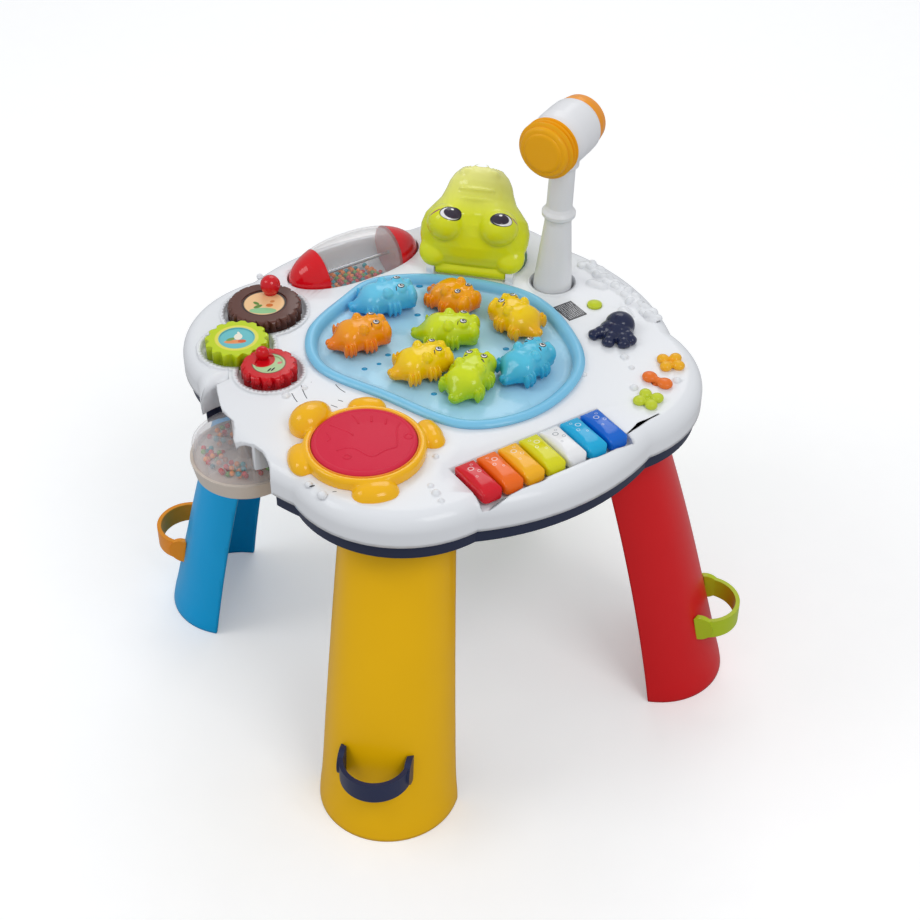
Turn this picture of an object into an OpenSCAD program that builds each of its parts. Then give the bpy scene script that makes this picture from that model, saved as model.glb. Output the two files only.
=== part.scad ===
// Musical activity table for babies: a lobed play deck on four curved legs,
// with drum, piano keys, gears, bead rollers, tap animals, snapping head and hammer.
// Origin: centre of the footprint on the floor. -Y is the drum lobe, +Z is up.

/* [Table] */
// Height of the play deck above the floor
deck_z = 330; // [300:1:360]
// Radius of the deck along the four flat sides
side_r = 208; // [200:1:215]
// Radius of each rounded lobe
lobe_r = 99; // [92:1:105]
// Distance of each lobe's centre from the middle
lobe_off = 129; // [124:1:134]
// Height of the white upper shell
shell_h = 28; // [26:1:32]
// Visible height of the dark lower shell
base_h = 14; // [12:1:18]
// Radius of the rounded upper edge
edge_round = 15; // [10:1:18]
// Wall thickness of the shells
wall = 3; // [2.4:0.2:3.6]

/* [Legs] */
// Outermost radius of a foot on the floor
foot_reach = 272.7; // [265:0.1:280]
// Radius of the half-round foot
foot_r = 61; // [56:0.5:64]
// Radius of the half-round top end of a leg
leg_top_r = 48; // [45:0.5:52]
// Wall thickness of a leg
leg_wall = 3.2; // [2.6:0.2:4]
// Depth of the shallow channel down the outer face
channel_depth = 2.4; // [0:0.2:4]
// Height of the loop band above the floor
loop_z = 64; // [50:1:90]
// Height of the loop band
loop_h = 20; // [14:1:26]

/* [Pond] */
// Travel of each tap animal
tap_travel = 3.5; // [2:0.1:4]
// Height of the pond rim above the deck
pond_rim = 6; // [4:0.5:8]

/* [Drum] */
// Radius of the drum pad
pad_r = 43; // [40:0.5:45]
// Travel of the drum pad
pad_travel = 2; // [1:0.1:2.5]

/* [Gears] */
// Pitch radius per tooth
tooth_module = 1.74; // [1.7:0.01:1.78]
// Half depth of a gear tooth
tooth_half = 1.9; // [1.5:0.1:2.1]
// Teeth of the brown gear
brown_teeth = 18; // [18:1:18]
// Teeth of the lime gear
lime_teeth = 15; // [15:1:15]
// Teeth of the red gear
red_teeth = 13; // [13:1:13]

/* [Piano] */
// Distance from key to key
key_pitch = 20.3; // [19.5:0.1:21]
// Width of one key
key_w = 18.4; // [17:0.1:18.8]
// Length of one key
key_l = 46; // [42:0.5:48]

/* [Bead roller] */
// Largest radius of the roller
roller_r = 30; // [27:0.5:31]
// Half length of the roller
roller_half = 66; // [62:1:68]

/* [Bead spinner] */
// Radius of the clear spinner cover
spinner_r = 44; // [40:0.5:45]

/* [Hammer] */
// Height of the hammer head's axis above the floor
hammer_head_z = 483; // [470:1:495]
// Lean of the hammer in its loose socket, degrees
hammer_lean = 2.4; // [0:0.1:2.5]
// Radius of the hammer barrel
barrel_r = 25.5; // [23:0.5:27]

/* [Animal head] */
// Length of the head from hinge to snout
head_len = 97; // [90:1:100]
// Angle at which the head stands open, degrees
head_open = 52; // [45:1:60]

/* [Hidden] */
$fn = 64;

rim_z = deck_z - shell_h;
base_z = rim_z - base_h;
deck_in = deck_z - wall;
base_inset = 4;
gap = 0.3;
fit = 0.06;

// ---------- shared shapes ----------

// Turns and moves children to a place on the deck
module on_deck(p, a = 0, z = deck_z) {
    translate([p[0], p[1], z]) rotate([0, 0, a]) children();
}

// Disc with a rounded upper edge
module round_disc(r, z0, z1, edge) {
    rotate_extrude($fn = 128) {
        translate([0, z0]) square([r, z1 - edge - z0]);
        translate([0, z0]) square([r - edge, z1 - z0]);
        intersection() {
            translate([r - edge, z1 - edge]) circle(edge);
            translate([0, z1 - edge]) square([r, edge]);
        }
    }
}

// The deck's outline: a circle with four round lobes that meet it in creases
crease = acos((side_r * side_r + lobe_off * lobe_off - lobe_r * lobe_r) / (2 * side_r * lobe_off));
lobe_steps = 12;
side_steps = 8;
deck_angles = [for (q = [0:90:270]) each concat(
    [for (i = [0:lobe_steps]) q - crease + 2 * crease * i / lobe_steps],
    [for (i = [1:side_steps - 1]) q + crease + (90 - 2 * crease) * i / side_steps])];
function from_lobe(a) = a - 90 * round(a / 90);
function lobe_reach(f, d) = lobe_off * cos(f) + sqrt(pow(lobe_r - d, 2) - pow(lobe_off * sin(f), 2));
function deck_reach(a, d) = let (f = from_lobe(a))
    abs(f) > crease + 0.01 ? side_r - d : max(side_r - d, lobe_reach(f, d));
function deck_ring(d, z) = [for (a = deck_angles) let (r = deck_reach(a, d)) [r * cos(a), r * sin(a), z]];

// The deck's body from z0 to z1, drawn in by d, with a rounded upper edge
edge_steps = 5;
module lobed(d, z0, z1, edge) {
    loft(concat(
        [for (i = [0:edge_steps]) let (a = 90 - 90 * i / edge_steps)
            deck_ring(d + edge * (1 - cos(a)), z1 - edge * (1 - sin(a)))],
        [deck_ring(d, z0)]));
}

// A flat outline raised to h with a domed top
module puffy(h, dome) {
    intersection() {
        linear_extrude(h) children();
        translate([0, 0, h - dome]) sphere(dome, $fn = 96);
    }
}

// Body of revolution lying along X from points [x, r]
module spun_x(pts) {
    rotate([0, 90, 0]) rotate_extrude($fn = 96) polygon([for (p = pts) [p[1], p[0]]]);
}

// A stubby rounded pill standing on the deck
module pebble(l, r, h) {
    intersection() {
        union() {
            for (s = [-1, 1]) translate([s * l / 2, 0, h - r]) sphere(r);
            translate([-l / 2, 0, h - r]) rotate([0, 90, 0]) cylinder(h = l, r = r);
        }
        translate([-60, -60, 0]) cube([120, 120, 60]);
    }
}

// ---------- closed smooth outlines ----------

function wrap(P, i) = P[(i + len(P)) % len(P)];
function knot(P, i, t) = 0.5 * (2 * wrap(P, i) + (wrap(P, i + 1) - wrap(P, i - 1)) * t
    + (2 * wrap(P, i - 1) - 5 * wrap(P, i) + 4 * wrap(P, i + 1) - wrap(P, i + 2)) * t * t
    + (3 * wrap(P, i) - wrap(P, i - 1) - 3 * wrap(P, i + 1) + wrap(P, i + 2)) * t * t * t);
function smooth(P, n) = [for (i = [0:len(P) - 1], k = [0:n - 1]) knot(P, i, k / n)];
function unit(v) = v / norm(v);
function outward(Q, i) = let (d = unit(wrap(Q, i + 1) - wrap(Q, i - 1))) [d[1], -d[0]];
// Outline Q moved outward by d; Q runs anticlockwise
function grown(Q, d) = [for (i = [0:len(Q) - 1]) Q[i] + d * outward(Q, i)];

// Tube whose profile [outward, z] follows the closed outline Q
module rim_sweep(Q, profile) {
    n = len(Q);
    m = len(profile);
    pts = [for (i = [0:n - 1], p = profile)
        let (c = Q[i] + p[0] * outward(Q, i)) [c[0], c[1], p[1]]];
    faces = [for (i = [0:n - 1], j = [0:m - 1]) let (a = (i + 1) % n, b = (j + 1) % m)
        [i * m + j, i * m + b, a * m + b, a * m + j]];
    polyhedron(pts, faces, convexity = 6);
}

// Closed skin over equal rings of points. A flat cap closes each end, or with
// strip = true a row of quads from the ring's first half to its second half
module loft(rings, strip = false) {
    n = len(rings);
    m = len(rings[0]);
    pts = [for (r = rings, p = r) p];
    sides = [for (i = [0:n - 2], j = [0:m - 1]) let (b = (j + 1) % m)
        [i * m + j, i * m + b, (i + 1) * m + b, (i + 1) * m + j]];
    e = (n - 1) * m;
    flats = [[for (j = [m - 1:-1:0]) j], [for (j = [0:m - 1]) e + j]];
    quads = [for (j = [0:m / 2 - 2]) each
        [[m - 1 - j, m - 2 - j, j + 1, j], [e + j, e + j + 1, e + m - 2 - j, e + m - 1 - j]]];
    polyhedron(pts, concat(sides, strip ? quads : flats), convexity = 6);
}

// ---------- places on the deck ----------

pond_knots = [[-117, -2], [-94, -53], [-30, -80], [42, -105], [98, -77], [126, -18],
    [114, 38], [64, 97], [-18, 110], [-80, 92], [-102, 54]];
pond_line = smooth(pond_knots, 6);

// Tap animals: place, turn of the snout, stretch along the length
animals = [[[-64.6, 53.5], 30, 1], [[-5, 71.2], -31, 0.88], [[60.3, 48.4], 144, 0.9],
    [[-71, -6], 33, 0.93], [[1.3, 17.8], 10, 0.98], [[-9.4, -34.8], 38, 0.93],
    [[35.6, -46.9], 76, 0.98], [[77.6, -16.7], 60, 0.93]];
animal_colors = ["deepskyblue", "darkorange", "orange", "darkorange",
    "yellowgreen", "gold", "yellowgreen", "turquoise"];

drum_at = [-27, -150];
drum_face = 154;
brown_at = [-164, 23];
lime_at = [-171, -34];
red_at = [-132.8, -63.8];
roller_at = [-108, 119];
roller_z = deck_z - 2;
spinner_at = [-141, -117];
hammer_at = [77.9, 123.4];
head_at = [3, 118];
hinge_z = deck_z + 6;
keys_at = [112, -123];
window_at = [101, 82];
window_size = [19.5, 25];
mode_at = [121, 95];
sea_at = [147, 60];
shape_at = [[198, 20], [190, -8], [186, -36]];
shape_turn = [20, -71, 70];

// ---------- white upper shell ----------

pocket_floor = deck_z - 5;
post_r = 4;
post_h = 11;
gears = [[brown_at, brown_teeth], [lime_at, lime_teeth], [red_at, red_teeth]];
function pitch_r(n) = tooth_module * n;
function gear_r(n) = pitch_r(n) + tooth_half;

module gear_places() {
    for (g = gears) on_deck(g[0], 0, 0) { $r = gear_r(g[1]); children(); }
}

// Spindle outline of the roller, grown by d
function spindle(d) = [for (i = [0:24]) let (a = -90 + i * 7.5, x = sin(a))
    [x * (roller_half + d), (roller_r + d) * sqrt(max(0, 1 - pow(abs(x), 2.3)))]];
module spindle_body(d) {
    translate([roller_at[0], roller_at[1], roller_z]) rotate([0, 0, 45]) spun_x(spindle(d));
}

key_bed_l = key_l + 5;
key_bed_w = 7 * key_pitch + 3;
key_floor = deck_z - 9;
module at_keys() { on_deck(keys_at, -45, 0) children(); }
rod_x = -key_l / 2 + 3;
rod_z = deck_z - 4;
rod_r = 1.5;

socket_r = 20.3;
socket_depth = 34;
socket_floor = deck_z - socket_depth;

lug_x = 33.2;
lug_w = 7;
pin_r = 2.5;

// Opening in the shell above the spinner: its edge on the deck, from the left lobe
// to the front lobe, with x pointing out through the middle of that side
notch_turn = -135;
notch_edge = [[184, -58], [195.5, -26], [194, -6], [203, 9], [204, 14.5], [199, 22], [194.5, 31],
    [192.8, 40], [193.4, 48], [195, 56], [198, 62], [240, 62], [240, -40]];
// The part of the edge that has the round wall
notch_left = [[166, -72], [172, -60], [184, -58], [195.5, -26], [240, -26], [240, -120], [190, -120]];
notch_r = spinner_r + 2;
notch_round = 11;
module spinner_notch() {
    rotate([0, 0, notch_turn]) translate([0, 0, rim_z - 1])
        linear_extrude(shell_h + 4) polygon(notch_edge);
    // round wall on the left, with a rounded upper edge
    intersection() {
        on_deck(spinner_at, 0, 0) rotate_extrude($fn = 96) difference() {
            translate([0, rim_z - 1]) square([notch_r + notch_round, shell_h + 4]);
            translate([notch_r + notch_round, deck_z - notch_round]) circle(notch_round);
            translate([notch_r, rim_z - 2]) square([notch_round + 1, shell_h + 2 - notch_round]);
        }
        rotate([0, 0, notch_turn]) translate([0, 0, rim_z - 2])
            linear_extrude(shell_h + 8) polygon(notch_left);
    }
}
// Curved skin under that rounded edge, as thick as the shell
module notch_lip() {
    intersection() {
        on_deck(spinner_at, 0, 0) rotate_extrude($fn = 96) difference() {
            translate([notch_r + 0.4, deck_z - notch_round]) square([notch_round + 1.1, notch_round - 0.5]);
            translate([notch_r + notch_round, deck_z - notch_round]) circle(notch_round - wall);
        }
        rotate([0, 0, notch_turn]) translate([0, 0, rim_z])
            linear_extrude(shell_h) polygon(notch_left);
        lobed(1, rim_z, deck_z - 1, edge_round);
    }
}
// Wall that closes the shell around the spinner
module spinner_wall(r, z0, z1) {
    on_deck(spinner_at, 0, z0) difference() {
        cylinder(h = z1 - z0, r = r + 2.2);
        translate([0, 0, -1]) cylinder(h = z1 - z0 + 2, r = r);
    }
}

module top_shell() {
    color("white") difference() {
        union() {
            difference() {
                lobed(0, rim_z, deck_z, edge_round);
                lobed(wall, rim_z - 1, deck_in, edge_round - wall);
            }
            // floor and ridge of the gear pocket
            gear_places() translate([0, 0, pocket_floor - wall])
                cylinder(h = deck_z + 1.6 - pocket_floor + wall, r = $r + 7);
            // trough under the roller
            intersection() {
                spindle_body(4.5);
                translate([0, 0, rim_z - 9]) cylinder(h = shell_h + 9, r = side_r - 12);
            }
            // bed under the keys, cut off by the rounded edge
            intersection() {
                at_keys() translate([-key_bed_l / 2 - wall, -key_bed_w / 2 - wall, key_floor - wall])
                    cube([key_bed_l + 2 * wall, key_bed_w + 2 * wall, deck_in + 1 - key_floor + wall]);
                lobed(0.5, rim_z, deck_z - 1, edge_round);
            }
            // hammer cup
            on_deck(hammer_at, 0, socket_floor - wall) {
                cylinder(h = socket_depth + wall, r = socket_r + wall);
                translate([0, 0, socket_depth + wall - 0.5])
                    cylinder(h = 2, r1 = socket_r + 4, r2 = socket_r + 2.5);
            }
            // knuckles of the snapping head
            for (s = [-1, 1]) on_deck(head_at, 0, hinge_z)
                translate([s * (lug_x + lug_w / 2) - lug_w / 2, 0, 0]) rotate([0, 90, 0]) {
                    cylinder(h = lug_w, r = 6.5);
                    translate([0, -6.5, 0]) cube([hinge_z - deck_in - 0.5, 13, lug_w]);
                }
            // wall around the spinner and the boss that holds its pin
            intersection() {
                spinner_wall(notch_r + 0.4, rim_z + 0.6, deck_in + 0.5);
                lobed(1, rim_z, deck_z - 1, edge_round);
            }
            notch_lip();
            on_deck(spinner_at, 0, rim_z + 1) cylinder(h = deck_in + 1 - rim_z, r = 9);
            // small bubbles and pebbles moulded on the deck
            for (b = bubbles) on_deck([b[0], b[1]]) translate([0, 0, -1]) sphere(b[2]);
            for (p = pebbles) on_deck([p[0], p[1]], p[2]) pebble(p[3], p[4], 3.2);
        }
        // pond opening
        translate([0, 0, deck_in - 1]) linear_extrude(wall + 2) polygon(grown(pond_line, -5));
        // gear pocket
        gear_places() translate([0, 0, pocket_floor]) cylinder(h = 20, r = $r + 3);
        // roller trough and its axle holes
        spindle_body(2);
        roller_place() translate([-roller_half - 3.4, 0, 0]) rotate([0, 90, 0])
            cylinder(h = 2 * roller_half + 6.8, r = axle_r);
        // key bed
        at_keys() translate([-key_bed_l / 2, -key_bed_w / 2, key_floor]) cube([key_bed_l, key_bed_w, 20]);
        at_keys() translate([rod_x, key_bed_w / 2 + 2, rod_z]) rotate([90, 0, 0])
            cylinder(h = key_bed_w + 4, r = rod_r);
        // drum stem, buttons and display
        on_deck(drum_at, 0, deck_in - 1) cylinder(h = wall + 2, r = 9);
        on_deck(mode_at, 0, deck_in - 1) cylinder(h = wall + 2, r = 6.5 + gap);
        on_deck(sea_at, 0, deck_in - 1) cylinder(h = wall + 2, r = 8 + gap);
        for (p = shape_at) on_deck(p, 0, deck_in - 1) cylinder(h = wall + 2, r = 5 + gap);
        on_deck(window_at, 45, deck_z - 2) translate([-window_size[0] / 2, -window_size[1] / 2, 0])
            cube([window_size[0], window_size[1], 4]);
        // hammer hole
        on_deck(hammer_at, 0, socket_floor) cylinder(h = socket_depth + 5, r = socket_r);
        // hinge pin bore
        on_deck(head_at, 0, hinge_z) translate([-60, 0, 0]) rotate([0, 90, 0]) cylinder(h = 120, r = pin_r);
        // spinner side
        spinner_notch();
        on_deck(spinner_at, 0, rim_z - 30) cylinder(h = 30.5, r = spinner_r + 4);
        on_deck(spinner_at, 0, rim_z - 3) cylinder(h = 22, r = 3);
    }
    // posts that carry the gears
    color("white") gear_places() translate([0, 0, pocket_floor - 1]) cylinder(h = post_h + 1, r = post_r);
}

// Bubbles: x, y, radius. Pebbles: x, y, turn, length, radius
bubbles = [[-110, -92, 4], [-98, -78, 3], [30, -144, 3], [40, -188, 4], [46, -196, 3],
    [34, -180, 3], [158, 22, 4], [166, 8, 3], [172, -20, 4], [206, -2, 4], [128, -10, 3],
    [-186, 78, 3], [-60, -198, 3], [-46, -208, 4]];
pebbles = [[112, 152, -42, 20, 11], [132, 132, -40, 22, 12], [152, 112, -46, 18, 10],
    [170, 92, -50, 16, 9], [118, 128, -20, 10, 8], [150, 88, -60, 10, 7]];

// ---------- dark lower shell ----------

leg_out = 195.2;
leg_mid = leg_out - leg_top_r;

// Half ring open towards the middle of the table
module half_ring(r, t, h) {
    difference() {
        cylinder(h = h, r = r + t);
        translate([0, 0, -1]) cylinder(h = h + 2, r = r);
        translate([-2 * r, -2 * r, -1]) cube([2 * r, 4 * r, h + 2]);
    }
}

post_at = [[-88, 62], [88, 62], [-88, -52], [88, -52]];
door = [92, 66];
door_at = [0, 0];
speaker_at = [0, 96];
switch_at = [74, -6];
board_z = base_z + wall + 9;
base_notch_r = spinner_r + 4;

// Half length of the i-th slot of the round speaker grille
function slot_half(i) = sqrt(324 - 18 * i * i);

module base_shell() {
    color("darkslateblue") difference() {
        union() {
            difference() {
                lobed_plain(base_inset, base_z, rim_z);
                lobed_plain(base_inset + wall, base_z + wall, rim_z + 1);
            }
            // tongue that steps inside the white shell
            difference() {
                lobed_plain(base_inset + wall - 1, rim_z - 2, rim_z + 5);
                lobed_plain(base_inset + wall + 1.2, rim_z - 3, rim_z + 6);
            }
            // sockets for the legs
            for (a = [0:90:270]) rotate([0, 0, a]) translate([leg_mid, 0, base_z - 14]) {
                translate([1.8, 0, 8]) half_ring(leg_top_r + 0.6, 2.6, 7);
                half_ring(leg_top_r - leg_wall - 4.8, 2.6, 15);
            }
            // wall around the spinner
            intersection() {
                spinner_wall(base_notch_r, base_z, rim_z - 0.2);
                lobed_plain(base_inset, base_z, rim_z);
            }
            // posts under the circuit board and collars for the screws
            for (p = post_at) translate([p[0], p[1], base_z + 1]) cylinder(h = board_z - base_z - 1, r = 5);
            for (p = screw_at) translate([p[0], p[1], base_z + 1]) cylinder(h = 10, r = 6);
            // battery box under the board
            translate([door_at[0] - door[0] / 2 - 3, door_at[1] - door[1] / 2 - 3, base_z - 12])
                cube([door[0] + 6, door[1] + 6, 12 + wall]);
        }
        translate([door_at[0] - door[0] / 2, door_at[1] - door[1] / 2, base_z - 13])
            cube([door[0], door[1], 13]);
        // speaker slots
        for (i = [-3:3])
            translate([speaker_at[0] - slot_half(i), speaker_at[1] + 5 * i - 1, base_z - 1])
                cube([2 * slot_half(i), 2, wall + 2]);
        translate([switch_at[0] - 9, switch_at[1] - 4, base_z - 1]) cube([18, 8, wall + 2]);
        for (p = screw_at) translate([p[0], p[1], base_z - 1]) {
            cylinder(h = 13, r = 1.7);
            cylinder(h = 5, r = 3.6);
        }
        on_deck(spinner_at, 0, base_z - 30) cylinder(h = 60, r = base_notch_r);
        rotate([0, 0, notch_turn]) translate([182, -66, base_z - 1]) cube([60, 128, 40]);
    }
}

// The lobed outline with upright walls
module lobed_plain(d, z0, z1) {
    translate([0, 0, z0]) {
        cylinder(h = z1 - z0, r = side_r - d, $fn = 128);
        for (a = [0:90:270]) rotate([0, 0, a]) translate([lobe_off, 0, 0])
            cylinder(h = z1 - z0, r = lobe_r - d, $fn = 128);
    }
}

screw_at = [[-40, -190], [60, -176], [176, 66], [186, -50], [30, 202], [-64, 186], [-190, 50], [-176, -58]];
module screws() {
    color("silver") for (p = screw_at) translate([p[0], p[1], base_z + 1]) {
        cylinder(h = 2.6, r = 3.2);
        cylinder(h = 12, r = 1.6);
    }
    color("silver") translate([door_at[0], door_at[1] - door[1] / 2 + 7, base_z - 12.6]) {
        cylinder(h = 2.4, r = 3);
        cylinder(h = 12, r = 1.4);
    }
}

// ---------- legs ----------

leg_levels = [base_z, 240, 190, 145, 100, 60, 22, 12, 0];
leg_steps = 18;
function reach(z) = foot_reach - 0.2 * z - 0.00024 * z * z;
function leg_radius(z) = foot_r - (foot_r - leg_top_r) * z / base_z;
// The channel is widest in the middle height and fades out above the loop
function fade(z) = min(1, max(0, (z - 40) / 40));
function dish(a) = abs(a) < 34 ? pow(cos(a * 90 / 34), 0.6) : 0;
function skirt(z) = z < 15 ? 1.2 : 0;
function leg_ring(z) = let (c = reach(z) - leg_radius(z), r = leg_radius(z)) concat(
    [for (i = [0:leg_steps]) let (a = -90 + 180 * i / leg_steps,
        q = r + skirt(z) - channel_depth * fade(z) * dish(a)) [c + q * cos(a), q * sin(a), z]],
    [for (i = [leg_steps:-1:0]) let (a = -90 + 180 * i / leg_steps,
        q = r - leg_wall - channel_depth * fade(z) * dish(a) * 0.6) [c + q * cos(a), q * sin(a), z]]);

module leg(turn, tint) {
    color(tint) rotate([0, 0, turn]) {
        loft([for (z = leg_levels) leg_ring(z)], strip = true);
    }
}
module leg_front() { leg(-90, "gold"); }
module leg_right() { leg(0, "crimson"); }
module leg_back() { leg(90, "yellowgreen"); }
module leg_left() { leg(180, "dodgerblue"); }

loop_in = 27;
loop_t = 4;
loop_c = reach(loop_z) - 6;
loop_ear = 10;
loop_mid_z = loop_z + loop_h / 2;
// How far the ends of the loop go into the wall of the leg
loop_bite = 1.2;
// Slope of the leg's outer face at the loop, as an angle
loop_lean = atan(0.2 + 0.00048 * loop_mid_z - (foot_r - leg_top_r) / base_z);
module leg_loop(turn, tint) {
    color(tint) rotate([0, 0, turn]) difference() {
        union() {
            translate([0, 0, loop_z]) linear_extrude(loop_h) {
                difference() {
                    translate([loop_c, 0]) circle(loop_in + loop_t);
                    translate([loop_c, 0]) circle(loop_in);
                    translate([loop_c - 60, -60]) square([60, 120]);
                }
                for (s = [-1, 1]) translate([loop_c - loop_ear, s * (loop_in + loop_t / 2) - loop_t / 2])
                    square([loop_ear + 0.1, loop_t]);
            }
            // rounded ears that lie on the leg
            for (s = [-1, 1])
                translate([loop_c - 3, s * (loop_in + loop_t / 2) - loop_t / 2 - 0.6, loop_mid_z])
                    rotate([-90, 0, 0]) cylinder(h = loop_t + 1.2, r = loop_h / 2 + 3);
        }
        // the leg's own body
        translate([reach(loop_mid_z) - leg_radius(loop_mid_z), 0, loop_mid_z]) rotate([0, -loop_lean, 0])
            translate([0, 0, -40]) cylinder(h = 80, r = leg_radius(loop_mid_z) - loop_bite);
    }
}
module leg_loop_front() { leg_loop(-90, "midnightblue"); }
module leg_loop_right() { leg_loop(0, "yellowgreen"); }
module leg_loop_back() { leg_loop(90, "crimson"); }
module leg_loop_left() { leg_loop(180, "orange"); }

// ---------- pond ----------

floor_z = deck_z - 3;
floor_t = 2.4;
module pond_tray() {
    color("lightskyblue") difference() {
        union() {
            rim_sweep(pond_line, [[0, deck_z + 0.1], [1, deck_z + 3], [-1, deck_z + pond_rim - 0.8],
                [-4.5, deck_z + pond_rim], [-8, deck_z + pond_rim - 1.6], [-10, deck_z + 1],
                [-10.4, floor_z - floor_t], [-5.4, floor_z - floor_t], [-5.3, deck_z + 0.1]]);
            translate([0, 0, floor_z - floor_t]) linear_extrude(floor_t) polygon(grown(pond_line, -8));
        }
        for (a = animals) on_deck(a[0], 0, floor_z - 10) cylinder(h = 20, r = stem_r + gap);
    }
}

// ---------- tap animals ----------

stem_r = 6;
mat_z = board_z + 1.6;
stem_end = mat_z + 1.5 + 1.5 + tap_travel + 0.3;

// A chubby creature lying along X from tail to snout: place, half width and height
animal_form = [[-30, 2.5, 4], [-27, 5.5, 7], [-23, 7.5, 9.5], [-20, 10, 12], [-16.5, 15, 16],
    [-12, 18.6, 19], [-7, 18.4, 21], [-3, 16.2, 21.5], [1, 16.4, 21], [5, 18.2, 20.5],
    [9, 17.8, 20.8], [13, 16, 21.5], [20, 15, 20.5], [26, 13.5, 18], [29, 11.5, 14.5], [30, 9, 10]];
animal_steps = 16;
ear_at = [3, 9.5, 20];
function blunt(v) = sign(v) * pow(abs(v), 0.75);
function animal_ring(q, stretch) = [for (i = [0:animal_steps]) let (a = 180 * i / animal_steps)
    [q[0] * stretch, -q[1] * blunt(cos(a)), q[2] * blunt(sin(a))]];
module animal(i) {
    at = animals[i];
    base = floor_z + tap_travel + 0.4;
    color(animal_colors[i]) on_deck(at[0], at[1], base) {
        loft([for (q = animal_form) animal_ring(q, at[2])]);
        for (s = [-1, 1]) translate([ear_at[0], s * ear_at[1], ear_at[2]]) sphere(3.8, $fn = 32);
        translate([0, 0, stem_end - base]) cylinder(h = base + 2 - stem_end, r = stem_r);
    }
}
module animal_1() { animal(0); }
module animal_2() { animal(1); }
module animal_3() { animal(2); }
module animal_4() { animal(3); }
module animal_5() { animal(4); }
module animal_6() { animal(5); }
module animal_7() { animal(6); }
module animal_8() { animal(7); }

// Egg profile of length l and radius r in n steps
function egg(l, r, n) = [for (i = [0:n]) let (a = 180 * i / n)
    [-l / 2 * cos(a), r * sin(a) * (1 - 0.16 * cos(a))]];

// ---------- drum ----------

ring_out = pad_r + 7;
// Flippers of the turtle: angle and distance of each, its length between the round
// ends and their radius
flippers = [[-51, 57, 13, 10], [51, 51, 16, 11], [-120, 56, 16, 10], [140, 52, 15, 12]];
flipper_h = 8.5;
module drum_ring() {
    color("gold") difference() {
        on_deck(drum_at, drum_face) {
            rotate_extrude($fn = 96) {
                translate([pad_r + gap, 0]) square([ring_out - pad_r - gap, 7]);
                intersection() {
                    translate([pad_r + gap + 3.2, 7]) circle(3.4);
                    translate([pad_r + gap, 6]) square([12, 5]);
                }
            }
            translate([57, 0, 5]) rotate([0, 0, 94]) spun_x(egg(42, 15.5, 18));
            for (f = flippers) rotate([0, 0, f[0]]) translate([f[1], 0, 0]) rotate([0, 0, 90])
                pebble(f[2], f[3], flipper_h);
        }
        on_deck(drum_at, 0, deck_z - 60) cylinder(h = 60, r = 120);
        on_deck(drum_at) cylinder(h = 40, r = pad_r + gap);
    }
}
module drum_pad() {
    color("crimson") on_deck(drum_at) {
        rotate_extrude($fn = 96) {
            intersection() {
                translate([0, 14.5 - 260]) circle(260, $fn = 256);
                translate([0, 6.5]) square([pad_r - 1.2, 12]);
            }
            translate([pad_r - 3.2, pad_travel + 0.6]) square([3, 9 - pad_travel - 0.6]);
            translate([pad_r - 3.2, 9]) circle(3, $fn = 32);
        }
        translate([0, 0, -8]) cylinder(h = 16, r = 8);
    }
}

// ---------- piano ----------

key_colors = ["crimson", "darkorange", "orange", "yellowgreen", "white", "deepskyblue", "royalblue"];
key_bottom = deck_z - 5;
key_top = deck_z + 7;
module key(i) {
    color(key_colors[i]) at_keys() translate([0, (i - 3) * key_pitch, 0]) difference() {
        intersection() {
            // long section: domed back with rounded ends
            translate([0, key_w / 2, 0]) rotate([90, 0, 0]) linear_extrude(key_w)
                intersection() {
                    translate([-key_l / 2, key_bottom]) square([key_l, key_top - key_bottom]);
                    translate([0, key_top - 70]) circle(70, $fn = 128);
                    union() {
                        for (s = [-1, 1]) translate([s * (key_l / 2 - 7), key_top - 9]) circle(7);
                        translate([-key_l / 2 + 7, key_bottom]) square([key_l - 14, 20]);
                        translate([-key_l / 2, key_bottom]) square([key_l, key_top - 9 - key_bottom]);
                    }
                }
            // cross section: rounded shoulders
            translate([-key_l / 2 - 1, 0, 0]) rotate([90, 0, 90]) linear_extrude(key_l + 2) {
                translate([-key_w / 2, key_bottom]) square([key_w, key_top - 6 - key_bottom]);
                for (s = [-1, 1]) translate([s * (key_w / 2 - 6), key_top - 6]) circle(6);
                translate([-key_w / 2 + 6, key_bottom]) square([key_w - 12, key_top - key_bottom]);
            }
        }
        translate([rod_x, 20, rod_z]) rotate([90, 0, 0]) cylinder(h = 40, r = rod_r + fit);
        translate([-key_l / 2 + 8, -key_w / 2 + 2, key_bottom - 1]) cube([key_l - 11, key_w - 4, 8]);
    }
}
module key_1() { key(0); }
module key_2() { key(1); }
module key_3() { key(2); }
module key_4() { key(3); }
module key_5() { key(4); }
module key_6() { key(5); }
module key_7() { key(6); }
module key_rod() {
    color("silver") at_keys() translate([rod_x, key_bed_w / 2 + 1.9, rod_z]) rotate([90, 0, 0])
        cylinder(h = key_bed_w + 3.8, r = rod_r);
}

// ---------- gears ----------

gear_low = pocket_floor + 0.4;
gear_top = deck_z + 10;
// Wavy outline of a gear with n round teeth, turned so that its teeth mesh
module gear_line(n, turn, slim = 0.3) {
    polygon([for (i = [0:n * 10 - 1])
        let (a = i * 36 / n, r = pitch_r(n) - slim + tooth_half * cos(n * (a - turn)))
        [r * cos(a), r * sin(a)]]);
}
module gear(n, at, turn, dome) {
    on_deck(at, 0, gear_low) difference() {
        intersection() {
            linear_extrude(40) gear_line(n, turn);
            round_disc(gear_r(n), 0, gear_top - gear_low, dome);
        }
        translate([0, 0, -1]) cylinder(h = post_h - 0.4 + 1 + 0.6, r = post_r + fit);
        translate([0, 0, gear_top - gear_low - 0.8]) cylinder(h = 2, r = pitch_r(n) - 11);
    }
}
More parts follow.
